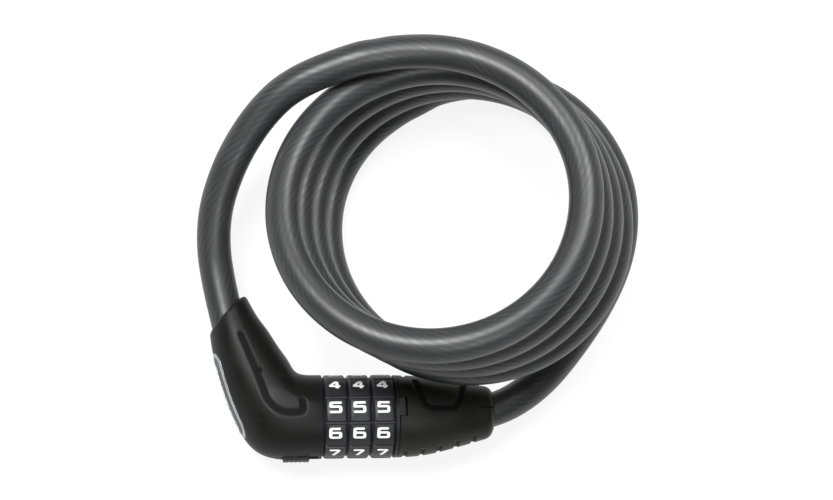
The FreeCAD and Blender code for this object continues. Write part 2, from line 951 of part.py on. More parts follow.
def biarc(start, start_way, end, end_way):
    """Two arcs that leave start and reach end along the given ways and meet without a kink."""
    chord = end - start
    ways = start_way + end_way
    bend = 2 * (1 - start_way.dot(end_way))
    lean = chord.dot(ways)
    reach = (math.sqrt(lean**2 + bend * chord.dot(chord)) - lean) / bend
    meet = (start + end + (start_way - end_way) * reach) * 0.5
    first = arc_from(start, start_way, meet)
    second = arc_from(end, end_way * -1, meet)
    return [first, Part.Wire(second).reversed().Edges[0]]


def coil_edges():
    first = S.coil_turn_start.value
    last = S.coil_turn_end.value
    spans = round((last - first) * spans_per_turn)
    turns = [first + (last - first) * i / spans for i in range(spans + 1)]
    tail = S.coil_tail.value
    start = coil_point(first)
    edges = [Part.LineSegment(start - coil_way(first) * tail, start).toShape()]
    for a, b in zip(turns, turns[1:]):
        edges += biarc(coil_point(a), coil_way(a), coil_point(b), coil_way(b))
    end = coil_point(last)
    edges.append(Part.LineSegment(end, end + coil_way(last) * tail).toShape())
    return edges


def coil_gap():
    """Least clear distance between the coil's turns, measured on points along them."""
    first = S.coil_turn_start.value
    count = int((S.coil_turn_end.value - first) * samples_per_turn)
    line = [coil_point(first + i / samples_per_turn) for i in range(count + 1)]
    least = min(
        line[i].distanceToPoint(line[j])
        for i in range(len(line))
        for j in range(i + samples_per_turn // 2, len(line))
    )
    return least - 2 * S.cable_radius.value


coil = coil_edges()
coil_start = coil[0].Vertexes[0].Point
coil_end = coil[-1].Vertexes[-1].Point
leg_end = V(
    (S.leg_x + S.core_leg_length * leg_across).value,
    (S.core_leg_length * leg_forward).value,
    S.axis_height.value,
)
elbow_route = [
    leg_end,
    (-40.6, 39.65, 12.8),
    (-42.3, 57.9, 18.0),
    (-37.3, 73.4, 26.0),
    (-28.8, 85.9, 33.7),
    (-18.9, 94.0, 39.9),
    coil_start - coil_way(S.coil_turn_start.value) * S.coil_tail.value,
    coil_start,
]
plug_route = [
    coil_end,
    coil_end + coil_way(S.coil_turn_end.value) * S.plug_lead_run.value,
    (45.2, 106.9, 5.08),
    (63.2, 102.2, 5.08),
    (75.7, 91.6, 5.08),
    (83.1, 77.7, 5.08),
    (85.1, 64.3, 5.08),
    (82.4, 49.0, 5.2),
    (74.0, 32.8, 6.8),
    (60.3, 15.2, 9.6),
    (51.5, 7.2, 11.6),
    (43.0, 2.3, 12.6),
    (33.5, 0.0, 12.8),
    (S.plug_core_end.value, 0.0, S.axis_height.value),
]
elbow_edges = route(elbow_route, "cable_elbow_lead")
plug_edges = route(plug_route, "cable_plug_lead")
print(f"cable_coil least gap to itself {coil_gap():.2f}")
cable_piece("cable_elbow_lead", elbow_edges)
cable_piece("cable_coil", coil)
cable_piece("cable_plug_lead", plug_edges)


# Plug


def round_section(at, radius, offset=0):
    circle = doc.addObject("Part::Circle", "Section")
    circle.Placement = FreeCAD.Placement(V(), FreeCAD.Rotation(V(0, 1, 0), 90))
    bind(circle, "Radius", radius)
    bind(circle, "Placement.Base.x", at)
    bind(circle, "Placement.Base.y", offset)
    return circle


def plug_form(inset=0):
    """The plug's tapered form, or one that lies the inset below it."""
    form = doc.addObject("Part::Loft", "PlugForm")
    form.Sections = [
        round_section(S.plug_left, S.plug_radius - inset),
        round_section(S.plug_shoulder_x, S.plug_shoulder - inset),
        round_section(S.plug_waist_x, S.plug_waist - inset, S.plug_waist_offset),
        round_section(S.plug_end_x, S.plug_end - inset, S.plug_end_offset),
    ]
    form.Solid = True
    doc.recompute()
    return form


def grip_grooves():
    """Grooves for the fingers round both sides of the plug, square to its axis."""
    narrowing = (S.plug_shoulder - S.plug_end) / (S.plug_end_x - S.plug_shoulder_x)
    rings = []
    for i in range(dimensions["grip_count"]):
        at = S.grip_start + S.grip_pitch * i
        radius = S.plug_radius
        if at.value > S.plug_shoulder_x.value:
            radius = S.plug_shoulder - (at - S.plug_shoulder_x) * narrowing
        ring = doc.addObject("Part::Torus", "Groove")
        ring.Placement = FreeCAD.Placement(V(), FreeCAD.Rotation(V(0, 1, 0), 90))
        bind(ring, "Radius1", radius + S.grip_radius - S.grip_depth)
        bind(ring, "Radius2", S.grip_radius)
        bind(ring, "Placement.Base.x", at)
        rings.append(ring)
    return common(
        joined(*rings),
        block((0, -S.reach, -S.grip_half_height), (S.reach, S.reach, S.grip_half_height)),
    )


def plug_cover():
    """Tapered cover; its mouth slides over the end collar's sleeve and key."""
    form = plug_form()
    rounded = doc.addObject("Part::Fillet", "PlugRounded")
    rounded.Base = form
    end_edge = max(range(len(form.Shape.Edges)), key=lambda i: form.Shape.Edges[i].BoundBox.XMin)
    rounded.Edges = [(end_edge + 1, S.plug_round.value, S.plug_round.value)]
    way_in = doc.addObject("Part::Feature", "CableWay")
    way_in.Shape = tube(plug_edges, S.cable_radius.value + S.cable_gap.value)
    way_in.Placement = FreeCAD.Placement(V(0, 0, -S.axis_height.value), FreeCAD.Rotation())
    key_low = S.key_offset - S.key_width / 2 - S.slot_gap
    key_high = S.key_offset + S.key_width / 2 + S.slot_gap
    key_end = collar_face + S.collar_flange + S.key_length + S.key_window
    cover = cut(
        rounded,
        rod(S.plug_mouth, 0, S.plug_mouth_end),
        rod(S.plug_core_radius + S.seat_gap, 0, S.plug_core_end + S.seat_gap),
        block((0, key_low, 0), (key_end, key_high, S.reach)),
        block(
            (S.split_start, S.split_y, S.split_floor),
            (S.reach, S.split_y + S.split_width, S.reach),
        ),
        band("plug band", plug_band, plug_form(S.band_depth)),
        grip_grooves(),
        way_in,
    )
    finish(cover, "plug_cover")


def plug_core():
    core = cut(
        rod(S.plug_core_radius, S.plug_core_start, S.plug_core_end - S.plug_core_start),
        rod(S.bolt_radius, 0, S.bolt_end),
        rod(S.steel_radius, S.bolt_end, S.reach),
        rod(S.plug_pin_radius, -S.reach, S.reach * 2, "Y", (S.plug_pin_x, 0)),
    )
    finish(core, "plug_core")
    ferrule_length = S.plug_core_end - S.plug_ferrule_start
    group("plug_ferrule", rod(S.steel_radius, S.plug_ferrule_start, ferrule_length))


def bolt():
    """Round bolt with one tooth for each code ring."""
    body = turned(
        [
            (S.bolt_tip, 0),
            (S.bolt_tip, S.bolt_radius - S.bolt_chamfer),
            (S.bolt_tip + S.bolt_chamfer, S.bolt_radius),
            (S.bolt_end, S.bolt_radius),
            (S.bolt_end, 0),
        ]
    )
    for number in range(1, dimensions["dial_count"] + 1):
        tooth = rectangle(
            sketch_on(body, "YZ_Plane", dial_place(number) + S.bolt_tooth_shift),
            -S.bolt_tooth_width / 2,
            S.bolt_tooth_width / 2,
            0,
            S.bolt_tooth,
        )
        extruded(body, "Pad", tooth, S.bolt_tooth_length)
    hole = disc(sketch_on(body, "XZ_Plane"), S.plug_pin_radius, S.plug_pin_x, 0)
    extruded(body, "Pocket", hole, S.bolt_radius * 4)
    finish(body, "bolt")


plug_cover()
plug_core()
bolt()
cross_pin("plug_pin", S.plug_pin_radius, S.plug_pin_x, S.plug_core_radius, "Y")

doc.recompute()

for item in doc.Objects:
    if "Invalid" in item.State or "Error" in item.State:
        raise RuntimeError(f"{item.Label} failed: {item.State}")
for piece in pieces:
    if piece.Shape.isNull() or not piece.Shape.isValid():
        raise RuntimeError(f"{piece.Label} has no valid shape")
for piece in pieces:
    piece.Shape.exportStep(f"parts/{piece.Label}.step")
    print(piece.Label, len(piece.Shape.Solids), f"{piece.Shape.Volume:.1f}", piece.Shape.BoundBox)
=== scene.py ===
import json
import math
import bpy
import numpy as np
from mathutils import Matrix, Vector


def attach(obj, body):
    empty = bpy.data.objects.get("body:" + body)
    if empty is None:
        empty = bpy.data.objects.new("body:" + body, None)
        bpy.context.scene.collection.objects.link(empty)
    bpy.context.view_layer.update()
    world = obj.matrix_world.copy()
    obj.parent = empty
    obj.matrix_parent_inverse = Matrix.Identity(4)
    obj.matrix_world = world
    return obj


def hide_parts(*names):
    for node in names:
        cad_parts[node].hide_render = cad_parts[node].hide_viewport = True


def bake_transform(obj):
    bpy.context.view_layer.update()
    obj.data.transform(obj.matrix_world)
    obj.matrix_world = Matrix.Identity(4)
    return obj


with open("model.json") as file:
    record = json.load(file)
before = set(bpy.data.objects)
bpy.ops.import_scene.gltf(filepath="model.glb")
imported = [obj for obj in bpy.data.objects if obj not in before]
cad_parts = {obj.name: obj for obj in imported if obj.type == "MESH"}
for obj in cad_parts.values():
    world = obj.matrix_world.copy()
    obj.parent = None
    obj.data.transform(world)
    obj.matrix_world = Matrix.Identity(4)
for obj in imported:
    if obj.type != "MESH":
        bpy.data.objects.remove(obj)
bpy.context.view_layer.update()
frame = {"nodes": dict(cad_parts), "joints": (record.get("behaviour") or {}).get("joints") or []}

# A three-dial cable lock. Shapes are worked out in millimetres from the barrel's axis and the middle dial,
# and set into the frame in metres.
middleDial = next(j for j in frame["joints"] if j["name"] == "dial_2_spin")
barrel = np.array(middleDial["pos_m"])


def onLock(points):
    return np.asarray(points, float) / 1000 + barrel


# Camera and light

camera = {
    "place": (-0.05828, -0.11605, 0.63538),
    "right": (0.9925, -0.0295, 0.1182),
    "up": (0.0, 0.9703, 0.2419),
    "back": (-0.1219, -0.2401, 0.9631),
    "lens": 92.917,
}
eye = bpy.data.cameras.new("eye")
eye.lens = camera["lens"]
eye.sensor_width = 36
eyeObject = bpy.data.objects.new("eye", eye)
turn = Matrix((camera["right"], camera["up"], camera["back"])).transposed()
eyeObject.matrix_world = Matrix.Translation(camera["place"]) @ turn.to_4x4()
bpy.context.scene.collection.objects.link(eyeObject)
bpy.context.scene.camera = eyeObject

studio = {
    "aim": (0.02, 0.03, 0.02),
    "distance": 0.8,
    "lamps": [
        # direction from the object, width, height, watts
        ((0.28, 0.48, 0.83), 0.34, 0.34, 5.0),
        ((-0.33, 0.18, 0.93), 0.28, 0.34, 8.6),
        ((0.1, -0.5, 0.8), 0.34, 0.3, 2.0),
    ],
    # the dome is white at the horizon and dim overhead
    "domeRise": (0.02, 0.3),
    "domeStrength": (1.0, 0.12),
    "floorColour": (0.93, 0.93, 0.93),
    "floorWhite": 0.86,
}
for i, (direction, width, height, watts) in enumerate(studio["lamps"]):
    lamp = bpy.data.lights.new(f"softbox{i}", "AREA")
    lamp.shape = "RECTANGLE"
    lamp.size = width
    lamp.size_y = height
    lamp.energy = watts
    lampObject = bpy.data.objects.new(f"softbox{i}", lamp)
    outward = Vector(direction).normalized()
    lampObject.location = Vector(studio["aim"]) + outward * studio["distance"]
    lampObject.rotation_euler = (-outward).to_track_quat("-Z", "Y").to_euler()
    bpy.context.scene.collection.objects.link(lampObject)

world = bpy.data.worlds.new("studio")
bpy.context.scene.world = world
world.use_nodes = True
worldNodes = world.node_tree.nodes
worldLinks = world.node_tree.links
direction = worldNodes.new("ShaderNodeTexCoord")
parts = worldNodes.new("ShaderNodeSeparateXYZ")
worldLinks.new(direction.outputs["Generated"], parts.inputs["Vector"])
dome = worldNodes.new("ShaderNodeMapRange")
dome.inputs["From Min"].default_value, dome.inputs["From Max"].default_value = studio["domeRise"]
dome.inputs["To Min"].default_value, dome.inputs["To Max"].default_value = studio["domeStrength"]
worldLinks.new(parts.outputs["Z"], dome.inputs["Value"])
background = worldNodes["Background"]
background.inputs["Color"].default_value = (1, 1, 1, 1)
worldLinks.new(dome.outputs["Result"], background.inputs["Strength"])

bpy.context.scene.view_settings.view_transform = "Standard"
print("camera and light ready")


# Shader helpers


def setInput(tree, socket, value):
    if isinstance(value, bpy.types.NodeSocket):
        tree.links.new(value, socket)
    else:
        socket.default_value = value


def addNode(tree, kind, settings=None, inOrder=(), **inputs):
    # inputs are given in their order or by name, each as a value or as another node's output
    node = tree.nodes.new(kind)
    for name, value in (settings or {}).items():
        setattr(node, name, value)
    for index, value in enumerate(inOrder):
        setInput(tree, node.inputs[index], value)
    for name, value in inputs.items():
        setInput(tree, node.inputs[name.replace("_", " ")], value)
    return node


def maths(tree, operation, *values):
    return addNode(tree, "ShaderNodeMath", {"operation": operation}, values).outputs["Value"]


def mapRange(tree, value, before=(0, 1), after=(0, 1)):
    node = addNode(
        tree, "ShaderNodeMapRange", Value=value,
        From_Min=before[0], From_Max=before[1], To_Min=after[0], To_Max=after[1],
    )
    return node.outputs["Result"]


def objectPlace(tree):
    return addNode(tree, "ShaderNodeTexCoord").outputs["Object"]


def noise(tree, place, scale, detail):
    return addNode(tree, "ShaderNodeTexNoise", Vector=place, Scale=scale, Detail=detail).outputs["Fac"]


def mixColour(tree, mask, first, second):
    mix = addNode(tree, "ShaderNodeMix", {"data_type": "RGBA"})
    for index, value in ((0, mask), (6, first), (7, second)):
        setInput(tree, mix.inputs[index], value)
    return mix.outputs[2]


def bumpFrom(tree, shader, height, bump):
    strength, distance = bump
    node = addNode(tree, "ShaderNodeBump", Strength=strength, Distance=distance, Height=height)
    tree.links.new(node.outputs["Normal"], shader.inputs["Normal"])


def newGroup(name, inputs, outputs):
    group = bpy.data.node_groups.new(name, "ShaderNodeTree")
    for label, value in inputs.items():
        kind = "NodeSocketFloat" if isinstance(value, float) else "NodeSocketColor"
        group.interface.new_socket(label, in_out="INPUT", socket_type=kind).default_value = value
    for label, kind in outputs.items():
        group.interface.new_socket(label, in_out="OUTPUT", socket_type=kind)
    return group, group.nodes.new("NodeGroupInput").outputs, group.nodes.new("NodeGroupOutput").inputs


def placeGroup(tree, group, **inputs):
    return addNode(tree, "ShaderNodeGroup", {"node_tree": group}, **inputs)


def newMaterial(name, **plain):
    material = bpy.data.materials.new(name)
    material.use_nodes = True
    shader = material.node_tree.nodes["Principled BSDF"]
    for label, value in plain.items():
        shader.inputs[label.replace("_", " ")].default_value = value
    return material, material.node_tree, shader


# Moulded grain: a fine spark-eroded texture, faint clouds of colour, and an uneven gloss
grainLook = {
    "fineDetail": 3.0,
    "cloudSize": 130.0,
    "cloudDetail": 4.0,
    "cloudRange": (0.3, 0.7),
    "cloudTones": (0.75, 1.25),
    "bump": (0.35, 0.00004),
}
grain, grainIn, grainOut = newGroup(
    "mouldedGrain",
    {
        "Colour": (0.02, 0.02, 0.02, 1),
        "Grain Size": 9000.0,
        "Grain Depth": 0.3,
        "Gloss Low": 0.35,
        "Gloss High": 0.5,
        "Cloud": 0.3,
    },
    {"Colour": "NodeSocketColor", "Roughness": "NodeSocketFloat", "Height": "NodeSocketFloat"},
)
place = objectPlace(grain)
clouds = noise(grain, place, grainLook["cloudSize"], grainLook["cloudDetail"])
gloss = mapRange(grain, clouds, grainLook["cloudRange"], (grainIn["Gloss Low"], grainIn["Gloss High"]))
tone = mapRange(grain, clouds, grainLook["cloudRange"], grainLook["cloudTones"])
toned = addNode(grain, "ShaderNodeVectorMath", {"operation": "SCALE"}, [grainIn["Colour"]], Scale=tone)
shade = mixColour(grain, grainIn["Cloud"], grainIn["Colour"], toned.outputs["Vector"])
fine = noise(grain, place, grainIn["Grain Size"], grainLook["fineDetail"])
grain.links.new(shade, grainOut["Colour"])
grain.links.new(gloss, grainOut["Roughness"])
grain.links.new(maths(grain, "MULTIPLY", fine, grainIn["Grain Depth"]), grainOut["Height"])

# Edge wear: where the surface turns sharply outward it is rubbed paler, in patches
wearLook = {"patchSize": 600.0, "patchDetail": 5.0}
wear, wearIn, wearOut = newGroup(
    "edgeWear", {"Amount": 0.5, "Start": 0.53, "End": 0.62}, {"Mask": "NodeSocketFloat"},
)
pointiness = addNode(wear, "ShaderNodeNewGeometry").outputs["Pointiness"]
edge = mapRange(wear, pointiness, (wearIn["Start"], wearIn["End"]))
patches = noise(wear, objectPlace(wear), wearLook["patchSize"], wearLook["patchDetail"])
rubbed = maths(wear, "MULTIPLY", maths(wear, "MULTIPLY", edge, patches), wearIn["Amount"])
wear.links.new(rubbed, wearOut["Mask"])


def mouldedPlastic(name, finish):
    # where the piece marks places as pressed in, they are darker and duller: the band, and as painted shade
    # the elbow's pit and the plug's finger grooves
    material, tree, shader = newMaterial(name, Specular_IOR_Level=finish["specular"], Metallic=0.0)
    texture = placeGroup(
        tree, grain, Colour=finish["colour"], Grain_Size=finish["grainSize"], Grain_Depth=1.0,
        Gloss_Low=finish["gloss"][0], Gloss_High=finish["gloss"][1], Cloud=finish["cloud"],
    )
    rub = placeGroup(tree, wear, Amount=finish["wear"])
    colour = mixColour(tree, rub.outputs["Mask"], texture.outputs["Colour"], finish["wornColour"])
    roughness = texture.outputs["Roughness"]
    if "bandAndShadeColour" in finish:
        bandAndShade = addNode(tree, "ShaderNodeAttribute", {"attribute_name": "bandAndShade"}).outputs["Fac"]
        colour = mixColour(tree, bandAndShade, colour, finish["bandAndShadeColour"])
        roughness = mapRange(tree, bandAndShade, after=(roughness, finish["bandAndShadeRoughness"]))
    tree.links.new(colour, shader.inputs["Base Color"])
    tree.links.new(roughness, shader.inputs["Roughness"])
    bumpFrom(tree, shader, texture.outputs["Height"], grainLook["bump"])
    return material


finishes = {
    "housing": {
        "colour": (0.006, 0.006, 0.0058, 1), "wornColour": (0.02, 0.02, 0.02, 1), "wear": 0.5,
        "cloud": 0.6, "grainSize": 5200.0, "gloss": (0.38, 0.5), "specular": 0.17,
        # darker, duller band, and painted shade in the elbow's pit
        "bandAndShadeColour": (0.0015, 0.0015, 0.0015, 1), "bandAndShadeRoughness": 0.78,
    },
    "plugHousing": {
        "colour": (0.0082, 0.0085, 0.0066, 1), "wornColour": (0.023, 0.024, 0.02, 1), "wear": 0.5,
        "cloud": 0.6, "grainSize": 5200.0, "gloss": (0.38, 0.5), "specular": 0.18,
        # darker, duller band, and painted shade in the plug's finger grooves
        "bandAndShadeColour": (0.0005, 0.0005, 0.0005, 1), "bandAndShadeRoughness": 0.95,
    },
    "dial": {
        "colour": (0.015, 0.015, 0.0165, 1), "wornColour": (0.05, 0.05, 0.053, 1), "wear": 0.35,
        "cloud": 0.4, "grainSize": 7000.0, "gloss": (0.36, 0.46), "specular": 0.35,
    },
    "smallPlastic": {
        "colour": (0.007, 0.007, 0.007, 1), "wornColour": (0.025, 0.025, 0.025, 1), "wear": 0.4,
        "cloud": 0.4, "grainSize": 6000.0, "gloss": (0.4, 0.52), "specular": 0.22,
    },
}
housingPlastic = mouldedPlastic("housingPlastic", finishes["housing"])
plugPlastic = mouldedPlastic("plugPlastic", finishes["plugHousing"])
dialPlastic = mouldedPlastic("dialPlastic", finishes["dial"])
smallPlastic = mouldedPlastic("smallPlastic", finishes["smallPlastic"])


metalLook = {"markDetail": 4.0, "hazeSize": 220.0, "hazeDetail": 4.0, "bump": (0.25, 0.00003)}


def turnedMetal(name, finish):
    # fine marks, drawn out by the finish's scales, under a haze of two tones
    material, tree, shader = newMaterial(name, Metallic=finish["metallic"])
    place = objectPlace(tree)
    squeeze = addNode(tree, "ShaderNodeMapping", Vector=place, Scale=finish["marks"])
    marks = noise(tree, squeeze.outputs["Vector"], 1.0, metalLook["markDetail"])
    haze = noise(tree, place, metalLook["hazeSize"], metalLook["hazeDetail"])
    tree.links.new(mixColour(tree, haze, finish["colour"], finish["darker"]), shader.inputs["Base Color"])
    tree.links.new(mapRange(tree, marks, after=finish["gloss"]), shader.inputs["Roughness"])
    bumpFrom(tree, shader, marks, metalLook["bump"])
    return material


metals = {
    "steel": {
        "metallic": 1.0, "colour": (0.52, 0.53, 0.55, 1), "darker": (0.36, 0.37, 0.39, 1),
        "gloss": (0.2, 0.42), "marks": (9000, 700, 700),
    },
    # dark steel for the shims, painted shade in the narrow gaps between the dials
    "gapShadeSteel": {
        "metallic": 1.0, "colour": (0.05, 0.051, 0.055, 1), "darker": (0.02, 0.02, 0.022, 1),
        "gloss": (0.35, 0.55), "marks": (9000, 700, 700),
    },
    "brass": {
        "metallic": 1.0, "colour": (0.68, 0.5, 0.24, 1), "darker": (0.5, 0.35, 0.15, 1),
        "gloss": (0.22, 0.45), "marks": (7000, 600, 600),
    },
    "brightTrim": {
        "metallic": 1.0, "colour": (0.52, 0.53, 0.54, 1), "darker": (0.34, 0.35, 0.36, 1),
        "gloss": (0.36, 0.5), "marks": (900, 900, 6000),
    },
    "badgeFace": {
        "metallic": 0.0, "colour": (0.1, 0.1, 0.104, 1), "darker": (0.012, 0.012, 0.013, 1),
        "gloss": (0.5, 0.7), "marks": (1500, 1500, 1500),
    },
}
steel = turnedMetal("steelFinish", metals["steel"])
gapShadeSteel = turnedMetal("gapShadeSteel", metals["gapShadeSteel"])
brass = turnedMetal("brassFinish", metals["brass"])
brightTrim = turnedMetal("brightTrim", metals["brightTrim"])
badgeFace = turnedMetal("badgeFace", metals["badgeFace"])

# White figures: paint with a slightly uneven, thinly worn surface
figureFinish = {
    "colour": (0.9, 0.9, 0.9, 1),
    "wornColour": (0.78, 0.78, 0.78, 1),
    "speckleSize": 2500.0,
    "speckleDetail": 4.0,
    "gloss": (0.4, 0.6),
    "bump": (0.2, 0.00002),
}
figurePaint, tree, shader = newMaterial("figurePaint", Specular_IOR_Level=0.4)
speckle = noise(tree, objectPlace(tree), figureFinish["speckleSize"], figureFinish["speckleDetail"])
paint = mixColour(tree, speckle, figureFinish["colour"], figureFinish["wornColour"])
tree.links.new(paint, shader.inputs["Base Color"])
tree.links.new(mapRange(tree, speckle, after=figureFinish["gloss"]), shader.inputs["Roughness"])
bumpFrom(tree, shader, speckle, figureFinish["bump"])

# Cable: a smoky clear sleeve over twisted strands, seen as faint slanting streaks where it is clear
cableFinish = {
    "strands": 18.0,
    "lay": 0.064,
    "sleeve": (0.02, 0.0203, 0.021, 1),
    "strand": (0.04, 0.0405, 0.042, 1),
    "gap": (0.011, 0.0112, 0.0118, 1),
    "clearSize": 130.0,
    "clearDetail": 3.0,
    "clearRange": (0.36, 0.66),
    "gloss": (0.4, 0.33),
    "rippleSize": 420.0,
    "rippleDetail": 4.0,
    "strandRelief": 0.5,
    "bump": (0.2, 0.0001),
}
cableCover, tree, shader = newMaterial("cableCover", Specular_IOR_Level=0.45)
way = addNode(tree, "ShaderNodeUVMap", {"uv_map": "cableWay"})
split = addNode(tree, "ShaderNodeSeparateXYZ", Vector=way.outputs["UV"]).outputs
roundAll = 2 * math.pi * cableFinish["strands"]
alongPhase = maths(tree, "MULTIPLY", split["X"], roundAll / cableFinish["lay"])
roundPhase = maths(tree, "MULTIPLY", split["Y"], roundAll)
wave = maths(tree, "SINE", maths(tree, "SUBTRACT", roundPhase, alongPhase))
streak = mapRange(tree, wave, (-1, 1))
place = objectPlace(tree)
patch = noise(tree, place, cableFinish["clearSize"], cableFinish["clearDetail"])
shown = maths(tree, "MULTIPLY", streak, mapRange(tree, patch, cableFinish["clearRange"]))
strandTone = mixColour(tree, streak, cableFinish["gap"], cableFinish["strand"])
tree.links.new(mixColour(tree, shown, cableFinish["sleeve"], strandTone), shader.inputs["Base Color"])
tree.links.new(mapRange(tree, shown, after=cableFinish["gloss"]), shader.inputs["Roughness"])
ripple = noise(tree, place, cableFinish["rippleSize"], cableFinish["rippleDetail"])
relief = maths(tree, "MULTIPLY_ADD", shown, cableFinish["strandRelief"], ripple)
bumpFrom(tree, shader, relief, cableFinish["bump"])

# Floor: a pale sheet that the eye, and the gloss on the object, see mostly as plain white
floorWhite, tree, shader = newMaterial("floorWhite", Specular_IOR_Level=0.1, Roughness=0.7)
shader.inputs["Base Color"].default_value = (*studio["floorColour"], 1)
ray = addNode(tree, "ShaderNodeLightPath").outputs
eyeOrGloss = maths(tree, "MAXIMUM", ray["Is Camera Ray"], ray["Is Glossy Ray"])
seen = maths(tree, "MAXIMUM", eyeOrGloss, ray["Is Transmission Ray"])
share = maths(tree, "MULTIPLY", seen, studio["floorWhite"])
glow = addNode(tree, "ShaderNodeEmission").outputs["Emission"]
whitened = addNode(tree, "ShaderNodeMixShader", None, (share, shader.outputs["BSDF"], glow))
tree.links.new(whitened.outputs["Shader"], tree.nodes["Material Output"].inputs["Surface"])
print("materials ready")


# Mesh helpers


def makeObject(name, vertices, faces, material, smooth=True):
    mesh = bpy.data.meshes.new(name)
    mesh.from_pydata([tuple(v) for v in vertices], [], faces)
    mesh.validate()
    mesh.materials.append(material)
    for polygon in mesh.polygons:
        polygon.use_smooth = smooth
    mesh.update()
    item = bpy.data.objects.new(name, mesh)
    bpy.context.scene.collection.objects.link(item)
    return item


def gridFaces(rows, columns, closed=True, first=0):
    faces = []
    for i in range(rows - 1):
        for j in range(columns if closed else columns - 1):
            k = (j + 1) % columns
            a, b = first + i * columns, first + (i + 1) * columns
            faces.append((a + j, a + k, b + k, b + j))
    return faces


def softenEdges(item, degrees):
    item.data.set_sharp_from_angle(angle=math.radians(degrees))


def makeGrid(name, rows, material, sharpFrom, ends=()):
    # a piece from rows of points in the lock's millimetres, each row closed round, with faces for its ends
    grid = np.array(rows)
    faces = gridFaces(len(grid), grid.shape[1]) + list(ends)
    item = makeObject(name, onLock(grid.reshape(-1, 3)), faces, material)
    softenEdges(item, sharpFrom)
    return item


def setMask(item, name, values):
    mask = item.data.attributes.new(name, "FLOAT", "POINT")
    mask.data.foreach_set("value", np.asarray(values, np.float32))


def smoothStep(low, high, value):
    share = np.clip((value - low) / (high - low), 0, 1)
    return share * share * (3 - 2 * share)


def splineThrough(places, values):
    # a natural cubic through rows of values
    places, values = np.asarray(places, float), np.asarray(values, float)
    count, gaps = len(places), np.diff(places)
    matrix, right = np.eye(count), np.zeros_like(values)
    for i in range(1, count - 1):
        matrix[i, i - 1 : i + 2] = gaps[i - 1], 2 * (gaps[i - 1] + gaps[i]), gaps[i]
        right[i] = 3 * ((values[i + 1] - values[i]) / gaps[i] - (values[i] - values[i - 1]) / gaps[i - 1])
    bend = np.linalg.solve(matrix, right)

    def at(wanted):
        wanted = np.asarray(wanted, float)
        i = np.clip(np.searchsorted(places, wanted) - 1, 0, count - 2)
        step, gap = (wanted - places[i])[..., None], gaps[i][..., None]
        slope = (values[i + 1] - values[i]) / gap - gap * (2 * bend[i] + bend[i + 1]) / 3
        return values[i] + slope * step + bend[i] * step**2 + (bend[i + 1] - bend[i]) / (3 * gap) * step**3

    return at


def roundedPath(corners, radius, closed=False, steps=6):
    # straight runs with rounded corners, as dense points; a third number is that corner's own radius
    radii = [c[2] if len(c) > 2 else radius for c in corners]
    corners = [np.array(c[:2], float) for c in corners]
    count = len(corners)
    path = [] if closed else [corners[0]]
    for i in range(count) if closed else range(1, count - 1):
        before, here, after = corners[i - 1], corners[i], corners[(i + 1) % count]
        back, ahead = before - here, after - here
        reach = min(radii[i], 0.49 * np.linalg.norm(back), 0.49 * np.linalg.norm(ahead))
        start = here + back / np.linalg.norm(back) * reach
        end = here + ahead / np.linalg.norm(ahead) * reach
        for share in np.linspace(0, 1, steps + 1):
            path.append(start * (1 - share) ** 2 + here * 2 * share * (1 - share) + end * share**2)
    if closed:
        path.append(path[0])
    else:
        path.append(corners[-1])
    return np.array(path)


def nearPath(points, path):
    # distance of each point, seen from above, from a path
    points = np.asarray(points)[..., :2]
    least = np.full(points.shape[:-1], 1e9)
    for a, b in zip(path[:-1, :2], path[1:, :2]):
        run = b - a
        length = run @ run
        if length < 1e-12:
            continue
        share = np.clip(((points - a) @ run) / length, 0, 1)
        least = np.minimum(least, np.linalg.norm(points - (a + share[..., None] * run), axis=-1))
    return least


def outwardNormals(grid):
    # normals of a closed grid of points, rows along the piece and columns round it
    downRows = np.gradient(grid, axis=0)
    roundIt = np.roll(grid, -1, axis=1) - np.roll(grid, 1, axis=1)
    normals = np.cross(roundIt, downRows)
    normals /= np.maximum(np.linalg.norm(normals, axis=-1, keepdims=True), 1e-9)
    outward = grid - grid.mean(axis=1, keepdims=True)
    return normals * np.sign((normals * outward).sum(-1, keepdims=True))


floorHalf = 4
floorCorners = [(x * floorHalf, y * floorHalf, 0) for x, y in ((-1, -1), (1, -1), (1, 1), (-1, 1))]
makeObject("floor", floorCorners, [(0, 1, 2, 3)], floorWhite)

# Cable: one line from the elbow, round the coil and back to the plug, in metres in the part's frame
cable = {
    "radius": 0.005,
    "sides": 32,
    "lineSteps": 8,
    "sharpFrom": 50,
    "elbowLead": [
        (-0.03316, 0.00512, 0.0128), (-0.03925, 0.02833, 0.0128), (-0.04095, 0.04658, 0.018),
        (-0.03595, 0.06208, 0.026), (-0.02745, 0.07458, 0.0337), (-0.01755, 0.08268, 0.0399),
    ],
    "plugLead": [
        (0.04655, 0.09558, 0.00508), (0.06455, 0.09088, 0.00508), (0.07705, 0.08028, 0.00508),
        (0.08445, 0.06638, 0.00508), (0.08645, 0.05298, 0.00508), (0.08375, 0.03768, 0.0052),
        (0.07535, 0.02148, 0.0068), (0.06165, 0.00388, 0.0096), (0.05285, -0.00412, 0.0116),
        (0.04435, -0.00902, 0.0126), (0.03485, -0.01132, 0.0128), (0.02535, -0.01132, 0.0128),
    ],
    "tail": 0.006,
    "plugRun": 0.009,
    # the lead has left the lock's hold a little past the plug's mouth
    "blendPast": (0.004, 0.012, 0),
}
coil = {
    "centre": (0.01963, 0.0441, 0.05297),
    "lean": (-0.15, 0.18, 1.0),
    "radius": (0.0439, 0.0442),
    "grow": (0.003, 0.0148),
    "drift": (0.003535, 0.0023),
    "pitch": 0.01062,
    "opening": 0.0095,
    "openingEnd": 0.05,
    "turns": (-0.27, 3.671),
    "perTurn": 24,
}


